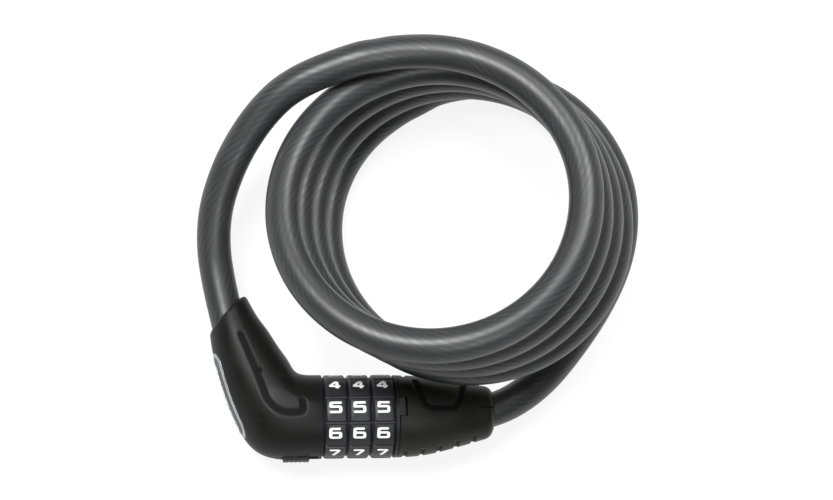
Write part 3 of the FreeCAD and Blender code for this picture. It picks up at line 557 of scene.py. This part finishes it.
def coilPoint(turns, outward=1.0):
    lean = Vector(coil["lean"]).normalized()
    across = (Vector((1, 0, 0)) - lean * lean.x).normalized()
    along = lean.cross(across)
    angle = -2 * math.pi * turns
    opening = coil["opening"] * max(0, coil["openingEnd"] - turns)
    radiusX = (coil["radius"][0] * (1 + coil["grow"][0] * turns) + opening) * outward
    radiusY = (coil["radius"][1] * (1 + coil["grow"][1] * turns) + opening) * outward
    return (
        Vector(coil["centre"])
        + across * (radiusX * math.cos(angle) + coil["drift"][0] * turns)
        + along * (radiusY * math.sin(angle) + coil["drift"][1] * turns)
        - lean * (coil["pitch"] * turns)
    )


def coilWay(turns):
    return (coilPoint(turns + 0.0001) - coilPoint(turns - 0.0001)).normalized()


def cableRoute():
    firstTurn, lastTurn = coil["turns"]
    # the smooth line runs a little inside its points
    outward = 1 / math.cos(math.pi / coil["perTurn"])
    start = coilPoint(firstTurn)
    points = [Vector(p) for p in cable["elbowLead"]]
    points.append(start - coilWay(firstTurn) * cable["tail"] * 2)
    points.append(start - coilWay(firstTurn) * cable["tail"])
    steps = round((lastTurn - firstTurn) * coil["perTurn"])
    for i in range(steps + 1):
        points.append(coilPoint(firstTurn + (lastTurn - firstTurn) * i / steps, outward))
    way = coilWay(lastTurn)
    # the last turn ends flat on the floor
    way = Vector((way.x, way.y, 0)).normalized()
    end = coilPoint(lastTurn) + way * cable["tail"]
    points += [end, end + way * cable["plugRun"]]
    points += [Vector(p) for p in cable["plugLead"]]
    return points, end


def smoothLine(points):
    curve = bpy.data.curves.new("cableRoute", "CURVE")
    curve.dimensions = "3D"
    spline = curve.splines.new("NURBS")
    spline.points.add(len(points) - 1)
    for point, place in zip(spline.points, points):
        point.co = (*place, 1)
    spline.order_u = 3
    spline.use_endpoint_u = True
    spline.resolution_u = cable["lineSteps"]
    holder = bpy.data.objects.new("cableRoute", curve)
    line = bpy.data.meshes.new_from_object(holder)
    places = np.array([v.co for v in line.vertices], float)
    bpy.data.objects.remove(holder)
    bpy.data.meshes.remove(line)
    return places


def sweepTube(name, line, along, frames, material):
    # rings of points square to the line; the texture place keeps the metres along and the share of a turn
    radius, sides = cable["radius"], cable["sides"]
    angles = np.linspace(0, 2 * math.pi, sides, endpoint=False)
    sideways, upward = frames
    rings = (
        line[:, None, :]
        + radius * np.cos(angles)[None, :, None] * sideways[:, None, :]
        + radius * np.sin(angles)[None, :, None] * upward[:, None, :]
    )
    last = (len(line) - 1) * sides
    faces = [tuple(reversed(face)) for face in gridFaces(len(line), sides)]
    faces.append(tuple(range(sides)))
    faces.append(tuple(last + j for j in reversed(range(sides))))
    tube = makeObject(name, rings.reshape(-1, 3), faces, material)
    softenEdges(tube, cable["sharpFrom"])
    uv = tube.data.uv_layers.new(name="cableWay")
    for n, polygon in enumerate(tube.data.polygons):
        # the last face of each ring meets the first points again, one whole turn on
        closing = n < last and n % sides == sides - 1
        for loop in polygon.loop_indices:
            i, j = divmod(tube.data.loops[loop].vertex_index, sides)
            uv.data[loop].uv = (along[i], 1.0 if closing and j == 0 else j / sides)
    return tube


def carriedFrames(line):
    # side and up directions carried along the line without twist
    ways = np.gradient(line, axis=0)
    ways /= np.linalg.norm(ways, axis=1)[:, None]
    side = np.cross(ways[0], (0, 0, 1))
    sides = []
    for way in ways:
        side = side - way * side.dot(way)
        side = side / np.linalg.norm(side)
        sides.append(side)
    sides = np.array(sides)
    return sides, np.cross(ways, sides)


routePoints, coilEnd = cableRoute()
line = smoothLine(routePoints)
gaps = np.linalg.norm(np.diff(line, axis=0), axis=1)
line = line[np.concatenate([[True], gaps > 1e-6])]
along = np.concatenate([[0], np.cumsum(np.linalg.norm(np.diff(line, axis=0), axis=1))])
sides, ups = carriedFrames(line)
join = int(np.argmin(np.linalg.norm(line - np.array(coilEnd), axis=1)))
coilPart, leadPart = slice(0, join + 1), slice(join, None)
cableCoil, cableLead = (
    sweepTube(name, line[part], along[part], (sides[part], ups[part]), cableCover)
    for name, part in (("cableCoil", coilPart), ("cablePlugLead", leadPart))
)
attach(cableCoil, "lock")
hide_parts("cable_elbow_lead", "cable_coil")
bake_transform(cableLead)
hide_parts("cable_plug_lead")

# Elbow: the solid's form, with its band, badge seat and slider slot pressed in. Millimetres from here on.
elbow = {
    # outer corner x and y, inner corner x and y, half height
    "sections": [
        (-10.55, -12.3, -10.55, 12.3, 12.3),
        (-16.0, -12.35, -16.2, 12.5, 12.9),
        (-21.5, -12.4, -18.3, 13.6, 13.1),
        (-28.3, -10.7, -19.7, 16.0, 13.0),
        (-35.0, -2.6, -22.7, 20.6, 11.6),
        (-39.3, 8.5, -26.0, 25.9, 10.3),
        (-42.2, 20.0, -29.3, 30.7, 9.2),
        (-42.9, 25.2, -32.4, 36.5, 8.2),
    ],
    "flat": 12.8,
    "flatSoft": 0.4,
    "rows": 320,
    "columns": 300,
    "sharpFrom": 38,
    "faceRound": 0.4,
    "mouthRound": 1.0,
    "bore": 9.1,
    "boreRound": 1.0,
    "boreDepth": 5.0,
    "legStart": (-30.2, 0.0),
    "legTurn": 104.7,
    "cableHole": 5.25,
    "holeDepth": 6,
    "band": [(-34.1, 23.0), (-30.0, 12.4), (-27.0, 2.6), (-22.4, -0.9), (-16.3, -0.5), (-16.6, 2.6)],
    "bandTurns": 3.0,
    "bandWidth": 2.4,
    "bandDepth": 0.26,
    "bandSlope": (0.7, 0.2),
    "bandFacing": (0.25, 0.5),
    "pit": (-28.9, 12.3),
    "pitReach": (0.36, 1.26),
    "pitDepth": 0.2,
    # left, right, half width
    "slot": (-22.1, -11.7, 2.4),
    "slotSoft": 0.15,
    "slotDepth": 1.4,
    "slotSide": -8,
}
badge = {
    "middle": (-36.8, 6.5),
    "lift": 1.2,
    "turn": -71.0,
    "length": 26.6,
    "height": 8.0,
    "edge": 1.2,
    "proud": 0.2,
    "seat": 0.6,
    "seatSlope": (0.1, 0.5),
    "seatSide": -0.2,
    "plateDrop": 0.1,
    "sharpFrom": 50,
}
badgeWay = np.array([math.cos(math.radians(badge["turn"])), math.sin(math.radians(badge["turn"]))])

sectionMiddles = np.array([((a + c) / 2, (b + d) / 2) for a, b, c, d, e in elbow["sections"]])
sectionPlaces = np.concatenate([[0], np.cumsum(np.linalg.norm(np.diff(sectionMiddles, axis=0), axis=1))])
elbowLine = splineThrough(sectionPlaces, elbow["sections"])


def elbowSurface(place, angle, inset=0.0):
    # a point of the elbow's outside; angle pi is the outer wall, half a turn on is the inner one
    place, angle = np.broadcast_arrays(np.asarray(place, float), np.asarray(angle, float))
    row = elbowLine(place)
    outer, inner, half = row[..., 0:2], row[..., 2:4], row[..., 4]
    middle, across = (outer + inner) / 2, (inner - outer) / 2
    reach = np.linalg.norm(across, axis=-1, keepdims=True)
    across = across * (reach - inset) / reach
    flat = middle + across * np.cos(angle)[..., None]
    up = (half - inset) * np.sin(angle)
    soft, limit = elbow["flatSoft"], elbow["flat"] - inset
    over = np.maximum(np.abs(up) - (limit - soft), 0)
    up = np.where(over > 0, np.sign(up) * (limit - soft * np.exp(-over / soft)), up)
    return np.concatenate([flat, up[..., None]], axis=-1)


def wallPoint(along, up, proud):
    # a point on the elbow's outer wall, from its place along the badge and its height, standing proud of it
    low, high = np.zeros(len(along)), np.full(len(along), sectionPlaces[-1])
    for halving in range(30):
        place = (low + high) / 2
        half = elbowLine(place)[..., 4] + proud
        angle = math.pi - np.arcsin(np.clip((up + badge["lift"]) / half, -1, 1))
        here = elbowSurface(place, angle, -proud)
        tooFar = (here[:, :2] - badge["middle"]) @ badgeWay < along
        low, high = np.where(tooFar, low, place), np.where(tooFar, place, high)
    return here


def pillDistance(along, up, length, height):
    # how far a place on the wall is inside a pill's outline
    straight = (length - height) / 2
    beyond = np.maximum(np.abs(along) - straight, 0)
    return height / 2 - np.hypot(beyond, up)


def elbowGrid(angles):
    # rows of points from the barrel's face to the mouth, with both rims rounded
    last = sectionPlaces[-1]
    faceRound, mouthRound = elbow["faceRound"], elbow["mouthRound"]
    rows = []
    for q in np.radians(np.linspace(90, 0, 7)[:-1]):
        rows.append(elbowSurface(faceRound * (1 - math.sin(q)), angles, faceRound * (1 - math.cos(q))))
    for place in np.linspace(faceRound, last - mouthRound, elbow["rows"]):
        rows.append(elbowSurface(place, angles))
    for q in np.radians(np.linspace(0, 90, 9)[1:]):
        place = last - mouthRound * (1 - math.sin(q))
        rows.append(elbowSurface(place, angles, mouthRound * (1 - math.cos(q))))
    return np.array(rows)


def pressedIn(grid, normals, angles):
    # how deep each point of the elbow is pressed in, and how much of it is darkened: the dull band, and the
    # pit as painted shade
    faceUp = smoothStep(*elbow["bandFacing"], np.abs(normals[..., 2]))
    half = elbow["bandWidth"] / 2
    inSlope, outSlope = elbow["bandSlope"]
    bandGap = nearPath(grid, roundedPath(elbow["band"], elbow["bandTurns"]))
    bandAndShade = (1 - smoothStep(half - inSlope, half + outSlope, bandGap)) * faceUp
    depth = bandAndShade * elbow["bandDepth"]
    pitGap = np.linalg.norm(grid[..., :2] - elbow["pit"], axis=-1)
    pit = (1 - smoothStep(*elbow["pitReach"], pitGap)) * faceUp
    depth += pit * elbow["pitDepth"]
    # the pit is darkened as painted shade
    bandAndShade = np.maximum(bandAndShade, pit)

    left, right, slotHalf = elbow["slot"]
    soft = elbow["slotSoft"]
    inSlot = smoothStep(left - soft, left + soft, grid[..., 0])
    inSlot *= 1 - smoothStep(right - soft, right + soft, grid[..., 0])
    inSlot *= 1 - smoothStep(slotHalf - soft, slotHalf + soft, np.abs(grid[..., 2]))
    depth += inSlot * (grid[..., 1] < elbow["slotSide"]) * elbow["slotDepth"]

    outerSide = np.cos(angles)[None, :] < badge["seatSide"]
    alongBadge = (grid[..., :2] - badge["middle"]) @ badgeWay
    inside = pillDistance(alongBadge, grid[..., 2] - badge["lift"], badge["length"], badge["height"])
    depth += smoothStep(*badge["seatSlope"], inside) * outerSide * badge["seat"]
    return depth, bandAndShade


def mouthRows(rim):
    # from the mouth's rim to the cable's hole and a little way down it
    turn = math.radians(elbow["legTurn"])
    legWay = np.array([math.cos(turn), math.sin(turn), 0])
    legStart = np.array([*elbow["legStart"], 0])
    mouthNormal = np.cross(rim[0] - rim[len(rim) // 2], (0, 0, 1))
    mouthNormal /= np.linalg.norm(mouthNormal)
    centre = legStart + legWay * (((rim[0] - legStart) @ mouthNormal) / (legWay @ mouthNormal))
    spokes = rim - centre
    sideways = spokes - (spokes @ legWay)[:, None] * legWay
    hole = centre + spokes * (elbow["cableHole"] / np.linalg.norm(sideways, axis=1))[:, None]
    rows = [rim * (1 - share) + hole * share for share in (0.4, 0.8)]
    return rows + [hole, hole - legWay * 0.3, hole - legWay * elbow["holeDepth"]]


def boreRows(rim):
    # the barrel's bore, from inside out to the face's rim
    angle = np.arctan2(rim[:, 2], rim[:, 1])
    bore, boreRound = elbow["bore"], elbow["boreRound"]
    rows = []
    for inward, radius in ((elbow["boreDepth"], bore), (0.0, bore), (0.0, bore + boreRound)):
        rows.append(np.stack([rim[:, 0] - inward, radius * np.cos(angle), radius * np.sin(angle)], axis=-1))
    return rows


def buildElbow():
    columns = elbow["columns"]
    angles = np.linspace(0, 2 * math.pi, columns, endpoint=False)
    grid = elbowGrid(angles)
    normals = outwardNormals(grid)
    depth, bandAndShade = pressedIn(grid, normals, angles)
    grid = grid - normals * depth[..., None]
    before, after = boreRows(grid[0]), mouthRows(grid[-1])
    grid = np.concatenate([np.array(before), grid, np.array(after)])
    bandAndShade = np.concatenate([np.zeros((len(before), columns)), bandAndShade, np.zeros((len(after), columns))])
    cover = makeGrid("elbowCover", grid, housingPlastic, elbow["sharpFrom"])
    cover.data.flip_normals()
    setMask(cover, "bandAndShade", bandAndShade.ravel())
    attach(cover, "lock")
    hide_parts("elbow_cover")


buildElbow()


def pillLoop(inset):
    # the badge's outline, drawn in by the inset, with the same number of points for every inset
    straight, radius = (badge["length"] - badge["height"]) / 2, badge["height"] / 2 - inset
    turns = np.linspace(0, math.pi, 30)
    runs = np.linspace(straight, -straight, 50)[1:-1]
    right = [(straight + radius * math.sin(t), -radius * math.cos(t)) for t in turns]
    left = [(-straight - radius * math.sin(t), radius * math.cos(t)) for t in turns]
    return np.array(right + [(x, radius) for x in runs] + left + [(-x, -radius) for x in runs])


def buildBadge():
    edge, proud, seat = badge["edge"], badge["proud"], badge["seat"]
    profile = [
        (0.02, -seat), (0.02, proud - 0.25), (0.09, proud - 0.08), (0.28, proud), (edge - 0.28, proud),
        (edge - 0.09, proud - 0.08), (edge - 0.02, proud - 0.25), (edge - 0.02, -seat),
    ]
    rows = [wallPoint(*pillLoop(inset).T, height) for inset, height in profile]
    ring = makeGrid("badgeFrame", rows, brightTrim, badge["sharpFrom"])
    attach(ring, "lock")
    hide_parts("badge_frame")

    loop = pillLoop(edge - 0.1)
    rows = [wallPoint(*(loop * share).T, -badge["plateDrop"]) for share in np.linspace(1, 0.02, 12)]
    plate = makeGrid("badgePlate", rows, badgeFace, badge["sharpFrom"])
    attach(plate, "lock")
    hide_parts("badge_plate")


buildBadge()
print("elbow and badge ready")

# Plug: tapered cover with its key window, band, finger grooves and split
plug = {
    # place along the barrel, radius, sideways offset
    "sections": [(11.5, 12.1, 0.0), (18.0, 11.75, 0.0), (28.0, 10.1, 0.36), (40.2, 7.3, 0.9)],
    "rows": 240,
    "columns": 260,
    "sharpFrom": 38,
    "rimRound": 0.45,
    "endRound": 2.2,
    # radius and end of the hollow
    "mouth": (9.45, 15.4),
    "cableHole": 5.3,
    "holeDepth": 6,
    # lower edge, upper edge, end
    "window": (-1.85, 3.65, 13.7),
    "band": [(16.6, 8.6), (19.4, 0.6), (24.0, 0.5), (28.4, 0.6), (31.0, 8.0)],
    "bandTurns": 2.2,
    "bandWidth": 2.4,
    "bandDepth": 0.3,
    "bandSlope": (0.7, 0.2),
    "bandFacing": (0.2, 0.45),
    "bandAbove": 3,
    "pits": [(17.7, 5.4), (30.4, 5.6)],
    "pitReach": (1.6, 1.9),
    "pitSpan": 4,
    "pitDepth": 0.15,
    "gripStart": 13.7,
    "gripPitch": 5.1,
    "gripCount": 5,
    "gripWidth": 0.75,
    "gripDepth": 0.42,
    "gripHeight": (3.8, 5.4),
    # how strongly the finger grooves are darkened and dulled, as painted shade
    "gripShade": 0.55,
    # start along the barrel, place across it, half width, depth
    "split": (35.4, 1.2, 0.2, 0.6),
}
plugLine = splineThrough([r[0] for r in plug["sections"]], [r[1:] for r in plug["sections"]])
plugBandPath = roundedPath(plug["band"], plug["bandTurns"])


def plugRing(place, radius, offset, angles):
    across, up = offset + radius * np.cos(angles), radius * np.sin(angles)
    return np.stack([np.full(len(angles), place), across, up], axis=-1)


def gripBite(points):
    # how far into a finger groove each point is
    bite = np.zeros(points.shape[:-1])
    for k in range(plug["gripCount"]):
        groove = np.abs(points[..., 0] - (plug["gripStart"] + plug["gripPitch"] * k)) / plug["gripWidth"]
        bite = np.maximum(bite, np.sqrt(np.clip(1 - groove**2, 0, 1)))
    return bite * (1 - smoothStep(*plug["gripHeight"], np.abs(points[..., 2])))


def plugBand(points):
    # how far into the band each point is, seen from above
    half = plug["bandWidth"] / 2
    inSlope, outSlope = plug["bandSlope"]
    return 1 - smoothStep(half - inSlope, half + outSlope, nearPath(points, plugBandPath))


def plugGrid(angles):
    # rows of points from the dials' side to the cable's hole, with both rims rounded
    start, end = plug["sections"][0][0], plug["sections"][-1][0]
    rimRound, endRound = plug["rimRound"], plug["endRound"]
    rows = []
    for q in np.radians(np.linspace(90, 0, 7)[:-1]):
        place = start + rimRound * (1 - math.sin(q))
        radius, offset = plugLine(place)
        rows.append(plugRing(place, radius - rimRound * (1 - math.cos(q)), offset, angles))
    for place in np.linspace(start + rimRound, end - endRound, plug["rows"]):
        radius, offset = plugLine(place)
        rows.append(plugRing(place, radius, offset, angles))
    for q in np.radians(np.linspace(0, 85, 14)[1:]):
        place = end - endRound * (1 - math.sin(q))
        radius, offset = plugLine(place)
        radius = max(radius - endRound * (1 - math.cos(q)), plug["cableHole"])
        rows.append(plugRing(place, radius, offset, angles))
    return np.array(rows)


def plugDepth(grid, normals):
    # here the mask holds the band alone, for its depth
    bandAndShade = plugBand(grid) * smoothStep(*plug["bandFacing"], np.abs(normals[..., 2]))
    depth = bandAndShade * plug["bandDepth"]
    for x, y in plug["pits"]:
        inPit = 1 - smoothStep(*plug["pitReach"], np.abs(grid[..., 1] - y))
        depth += inPit * bandAndShade * (np.abs(grid[..., 0] - x) < plug["pitSpan"]) * plug["pitDepth"]
    depth += gripBite(grid) * plug["gripDepth"]
    splitStart, splitY, splitHalf, splitDepth = plug["split"]
    inSplit = 1 - smoothStep(splitHalf * 0.5, splitHalf * 1.2, np.abs(grid[..., 1] - splitY))
    inSplit *= (grid[..., 2] > 0) * smoothStep(splitStart - 0.1, splitStart + 0.1, grid[..., 0])
    return depth + inSplit * splitDepth


def cutWindow(cover):
    # the window for the collar's key, cut out of the cover's rim
    windowLow, windowHigh, windowEnd = plug["window"]
    start = plug["sections"][0][0]
    low, high = onLock([start - 2, windowLow, 0]), onLock([windowEnd, windowHigh, 16])
    corners = [(x, y, z) for x in (low[0], high[0]) for y in (low[1], high[1]) for z in (low[2], high[2])]
    sides = [(0, 1, 3, 2), (4, 6, 7, 5), (0, 4, 5, 1), (2, 3, 7, 6), (0, 2, 6, 4), (1, 5, 7, 3)]
    cutter = makeObject("windowCutter", corners, sides, plugPlastic, smooth=False)
    difference = cover.modifiers.new("window", "BOOLEAN")
    difference.operation = "DIFFERENCE"
    difference.solver = "EXACT"
    difference.object = cutter
    finished = bpy.data.meshes.new_from_object(cover.evaluated_get(bpy.context.evaluated_depsgraph_get()))
    cover.modifiers.clear()
    cover.data = finished
    bpy.data.objects.remove(cutter)


def buildPlug():
    columns = plug["columns"]
    angles = np.linspace(0, 2 * math.pi, columns, endpoint=False)
    start, end = plug["sections"][0][0], plug["sections"][-1][0]
    grid = plugGrid(angles)
    normals = outwardNormals(grid)
    grid = grid - normals * plugDepth(grid, normals)[..., None]
    hole, (mouth, mouthEnd) = plug["cableHole"], plug["mouth"]
    endOffset = plugLine(end - plug["endRound"])[1]
    inner = [(mouthEnd, hole), (mouthEnd, mouth), (start + 0.3, mouth), (start, mouth + 0.3)]
    before = [plugRing(place, radius, 0, angles) for place, radius in inner]
    after = [plugRing(place, hole, endOffset, angles) for place in (end - 0.4, end - plug["holeDepth"])]
    grid = np.concatenate([np.array(before), grid, np.array(after)])
    top = (len(grid) - 1) * columns
    closing = [(top + j, top + (j + 1) % columns, (j + 1) % columns, j) for j in range(columns)]
    faces = gridFaces(len(grid), columns) + closing
    cover = makeObject("plugCover", onLock(grid.reshape(-1, 3)), faces, plugPlastic)
    cover.data.flip_normals()
    cutWindow(cover)
    softenEdges(cover, plug["sharpFrom"])
    points = (np.array([v.co for v in cover.data.vertices]) - barrel) * 1000
    shaded = plugBand(points) * (np.abs(points[:, 2]) > plug["bandAbove"])
    # the band is darker and duller; the finger grooves are darkened and dulled as painted shade
    setMask(cover, "bandAndShade", np.maximum(shaded, gripBite(points) * plug["gripShade"]))
    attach(cover, "plug")
    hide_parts("plug_cover")


buildPlug()
print("plug ready")

# Dials: ten cells each, with grooves between them and white figures
dials = {
    "radius": 12.2,
    "bore": 8.3,
    "width": 6.7,
    "pitch": 6.95,
    "bevel": 0.75,
    "edgeRound": 0.22,
    "boreReach": 2.2,
    "grooveReach": 2.2,
    "sharpFrom": 40,
    "cells": 10,
    # width, depth
    "groove": (1.2, 0.6),
    # points beside a groove's middle, in millimetres, and over the rest of a cell
    "nearGroove": [0, 0.2, 0.36, 0.42, 0.5, 0.6, 0.68, 0.74, 0.8, 0.88, 1.0],
    "overCell": 12,
    "frontFigure": 5,
}
figures = {
    "width": 3.75,
    "height": 3.4,
    "upright": 0.88,
    "level": 0.66,
    "round": 0.42,
    "shift": (-0.25, 0.75),
    "lift": 0.04,
    "sink": 0.1,
    "pieceLength": 0.35,
    "strokes": {
        0: [[(-1, 1), (1, 1), (1, -1), (-1, -1), "closed"]],
        1: [[(-0.45, 0.55), (0.15, 1), (0.15, -1)]],
        2: [[(-1, 0.5), (-1, 1), (1, 1), (1, 0.05), (-1, -0.15), (-1, -1), (1.1, -1)]],
        3: [[(-1, 1), (1, 1), (1, 0.05), (-0.4, 0.05)], [(0.4, 0.05), (1, 0.05), (1, -1), (-1, -1)]],
        4: [[(0.5, -1), (0.5, 1)], [(0.5, 1), (0.2, 1), (-1, -0.4), (1.1, -0.4)]],
        5: [[(1.2, 1), (-0.92, 1, 0.06), (-1, 0.14, 0.06), (1, 0.14), (1, -1), (-1.2, -1)]],
        6: [[(0.95, 1), (-1, 1), (-1, -1), (1, -1), (1, 0.1), (-0.98, 0.1)]],
        7: [[(-1, 1), (1, 1), (-0.25, -1)]],
        8: [
            [(-0.88, 1), (0.88, 1), (0.88, 0.08), (-0.88, 0.08), "closed"],
            [(-1, 0.08), (1, 0.08), (1, -1), (-1, -1), "closed"],
        ],
        9: [[(-0.95, -1), (1, -1), (1, 1), (-1, 1), (-1, -0.1), (0.98, -0.1)]],
    },
}


def dialAngles():
    # close together at the grooves, wider over the cells
    step = 360 / dials["cells"]
    near = [math.degrees(n / dials["radius"]) for n in dials["nearGroove"]]
    over = np.linspace(near[-1], step - near[-1], dials["overCell"] + 2)[1:-1]
    beside = sorted({-n for n in near} | set(near)) + list(over)
    middles = [(cell + 0.5) * step for cell in range(dials["cells"])]
    return np.radians(sorted((middle + angle) % 360 for middle in middles for angle in beside))


def grooveDepth(angles):
    step = math.radians(360 / dials["cells"])
    width, depth = dials["groove"]
    away = np.abs((angles / step) % 1 - 0.5) * step * dials["radius"]
    return depth * (1 - smoothStep(width / 4 - 0.02, width / 2, away))


def dialProfile():
    # place along the barrel and radius, from the bore over the rim to the bore again
    half, radius, bore = dials["width"] / 2, dials["radius"], dials["bore"]
    bevel, soft = dials["bevel"], dials["edgeRound"]
    low = radius - bevel
    side = [
        (-half + dials["boreReach"], bore), (-half + 0.25, bore), (-half, bore + 0.25), (-half, low - soft),
        (-half + soft * 0.3, low - soft * 0.3), (-half + soft, low + soft * 0.55),
        (-half + bevel - soft, radius - soft * 0.75), (-half + bevel, radius - soft * 0.25),
    ]
    rim = [(x, radius) for x in np.linspace(-half + bevel + soft, half - bevel - soft, 7)]
    return side + rim + [(-x, r) for x, r in reversed(side)]


def buildDial(number):
    angles = dialAngles()
    middle, radius = dials["pitch"] * (number - 2), dials["radius"]
    floor = radius - grooveDepth(angles)
    rows = []
    for x, r in dialProfile():
        # the grooves run over the rim and its bevels, not down the dial's sides
        grooved = r > radius - dials["grooveReach"]
        reach = np.minimum(r, floor) if grooved else np.full(len(angles), r)
        across, up = reach * np.sin(angles), reach * np.cos(angles)
        rows.append(np.stack([np.full(len(angles), middle + x), across, up], axis=-1))
    item = makeGrid(f"dial{number}", rows, dialPlastic, dials["sharpFrom"])
    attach(item, f"dial_{number}")
    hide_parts(f"dial_{number}")


def ribbon(path, closed):
    # upright strokes are bolder than level ones
    ways = np.gradient(path, axis=0)
    if closed:
        ways[0] = ways[-1] = path[1] - path[-2]
    ways /= np.maximum(np.linalg.norm(ways, axis=1, keepdims=True), 1e-9)
    side = np.stack([-ways[:, 1] * figures["upright"], ways[:, 0] * figures["level"]], axis=-1) / 2
    return path + side + figures["shift"], path - side + figures["shift"]


def strokeLine(stroke, closed):
    # a stroke's middle line in millimetres, with rounded corners and short pieces that follow the dial
    scale = np.array([figures["width"] - figures["upright"], figures["height"] - figures["level"]]) / 2
    corners = [(*(np.array(c[:2]) * scale), *c[2:]) for c in stroke if c != "closed"]
    path = roundedPath(corners, figures["round"], closed, steps=7)
    path = path[np.concatenate([[True], np.linalg.norm(np.diff(path, axis=0), axis=1) > 0.01])]
    dense = [path[0]]
    for a, b in zip(path[:-1], path[1:]):
        pieces = max(1, math.ceil(np.linalg.norm(b - a) / figures["pieceLength"]))
        dense += [a + (b - a) * n / pieces for n in range(1, pieces + 1)]
    return np.array(dense)


def buildFigures(number):
    middle = dials["pitch"] * (number - 2)
    vertices, faces = [], []
    for figure, strokes in figures["strokes"].items():
        facing = math.radians(360 / dials["cells"]) * (dials["frontFigure"] - figure)
        for stroke in strokes:
            closed = stroke[-1] == "closed"
            path = strokeLine(stroke, closed)
            left, right = ribbon(path, closed)
            first, count = len(vertices), len(path)
            low, high = dials["radius"] - figures["sink"], dials["radius"] + figures["lift"]
            for edge, reach in ((left, low), (left, high), (right, high), (right, low)):
                turn = facing + edge[:, 1] / dials["radius"]
                across, up = reach * np.sin(turn), reach * np.cos(turn)
                vertices += [tuple(v) for v in np.stack([middle + edge[:, 0], across, up], axis=-1)]
            for strip in range(3):
                for i in range(count - 1):
                    a, b = first + strip * count + i, first + (strip + 1) * count + i
                    faces.append((a, a + 1, b + 1, b))
            if not closed:
                end = first + count - 1
                faces.append(tuple(first + strip * count for strip in range(4)))
                faces.append(tuple(end + strip * count for strip in reversed(range(4))))
    item = makeObject(f"figures{number}", onLock(vertices), faces, figurePaint, smooth=False)
    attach(item, f"dial_{number}")


for number in (1, 2, 3):
    buildDial(number)
    buildFigures(number)
print("dials ready")

# Reset slider: a small ribbed knob that stands a little out of its slot
slider = {
    "left": -21.9,
    "length": 7.6,
    "halfWidth": 2.2,
    "face": -13.1,
    "foot": -9.5,
    "round": 0.3,
    "rows": 90,
    "sharpFrom": 40,
    "ribs": 5,
    "ribPitch": 1.3,
    "ribDepth": 0.16,
}


def buildSlider():
    soft, half = slider["round"], slider["halfWidth"]
    middle = slider["left"] + slider["length"] / 2
    alongs = np.linspace(slider["left"], slider["left"] + slider["length"], slider["rows"])
    fromEnd = np.minimum(alongs - alongs[0], alongs[-1] - alongs)
    ribbed = np.abs(alongs - middle) < slider["ribPitch"] * slider["ribs"] / 2
    wave = (1 - np.cos(2 * math.pi * (alongs - middle) / slider["ribPitch"])) / 2
    sink = wave * ribbed * slider["ribDepth"]
    over = np.clip(1 - fromEnd / soft, 0, 1)
    top = slider["face"] + sink + soft * (1 - np.sqrt(1 - over**2))
    turns = np.linspace(0, math.pi / 2, 7)
    rows = []
    for x, y in zip(alongs, top):
        left = [(x, y + soft * (1 - math.sin(t)), -half + soft * (1 - math.cos(t))) for t in turns]
        right = [(x, b, -c) for a, b, c in reversed(left)]
        rows.append([(x, slider["foot"], -half), *left, *right, (x, slider["foot"], half)])
    columns = len(rows[0])
    ends = [tuple(reversed(range(columns))), tuple((len(rows) - 1) * columns + j for j in range(columns))]
    knob = makeGrid("resetKnob", rows, smallPlastic, slider["sharpFrom"], ends)
    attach(knob, "reset")
    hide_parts("reset_slider")


buildSlider()
print("slider ready")

# Solids that keep their CAD shape
plainLooks = [
    (smallPlastic, ["end_collar"]),
    # the dark shims are painted shade between the dials
    (gapShadeSteel, ["dial_shims"]),
    (brass, ["code_carriage", "code_ring_1", "code_ring_2", "code_ring_3"]),
    (steel, ["elbow_core", "elbow_ferrule", "elbow_pin", "barrel_tube", "detent_spring", "retaining_ring"]),
    (steel, ["plug_core", "plug_ferrule", "plug_pin", "bolt"]),
]
for material, nodeNames in plainLooks:
    for nodeName in nodeNames:
        mesh = frame["nodes"][nodeName].data
        mesh.materials.clear()
        mesh.materials.append(material)
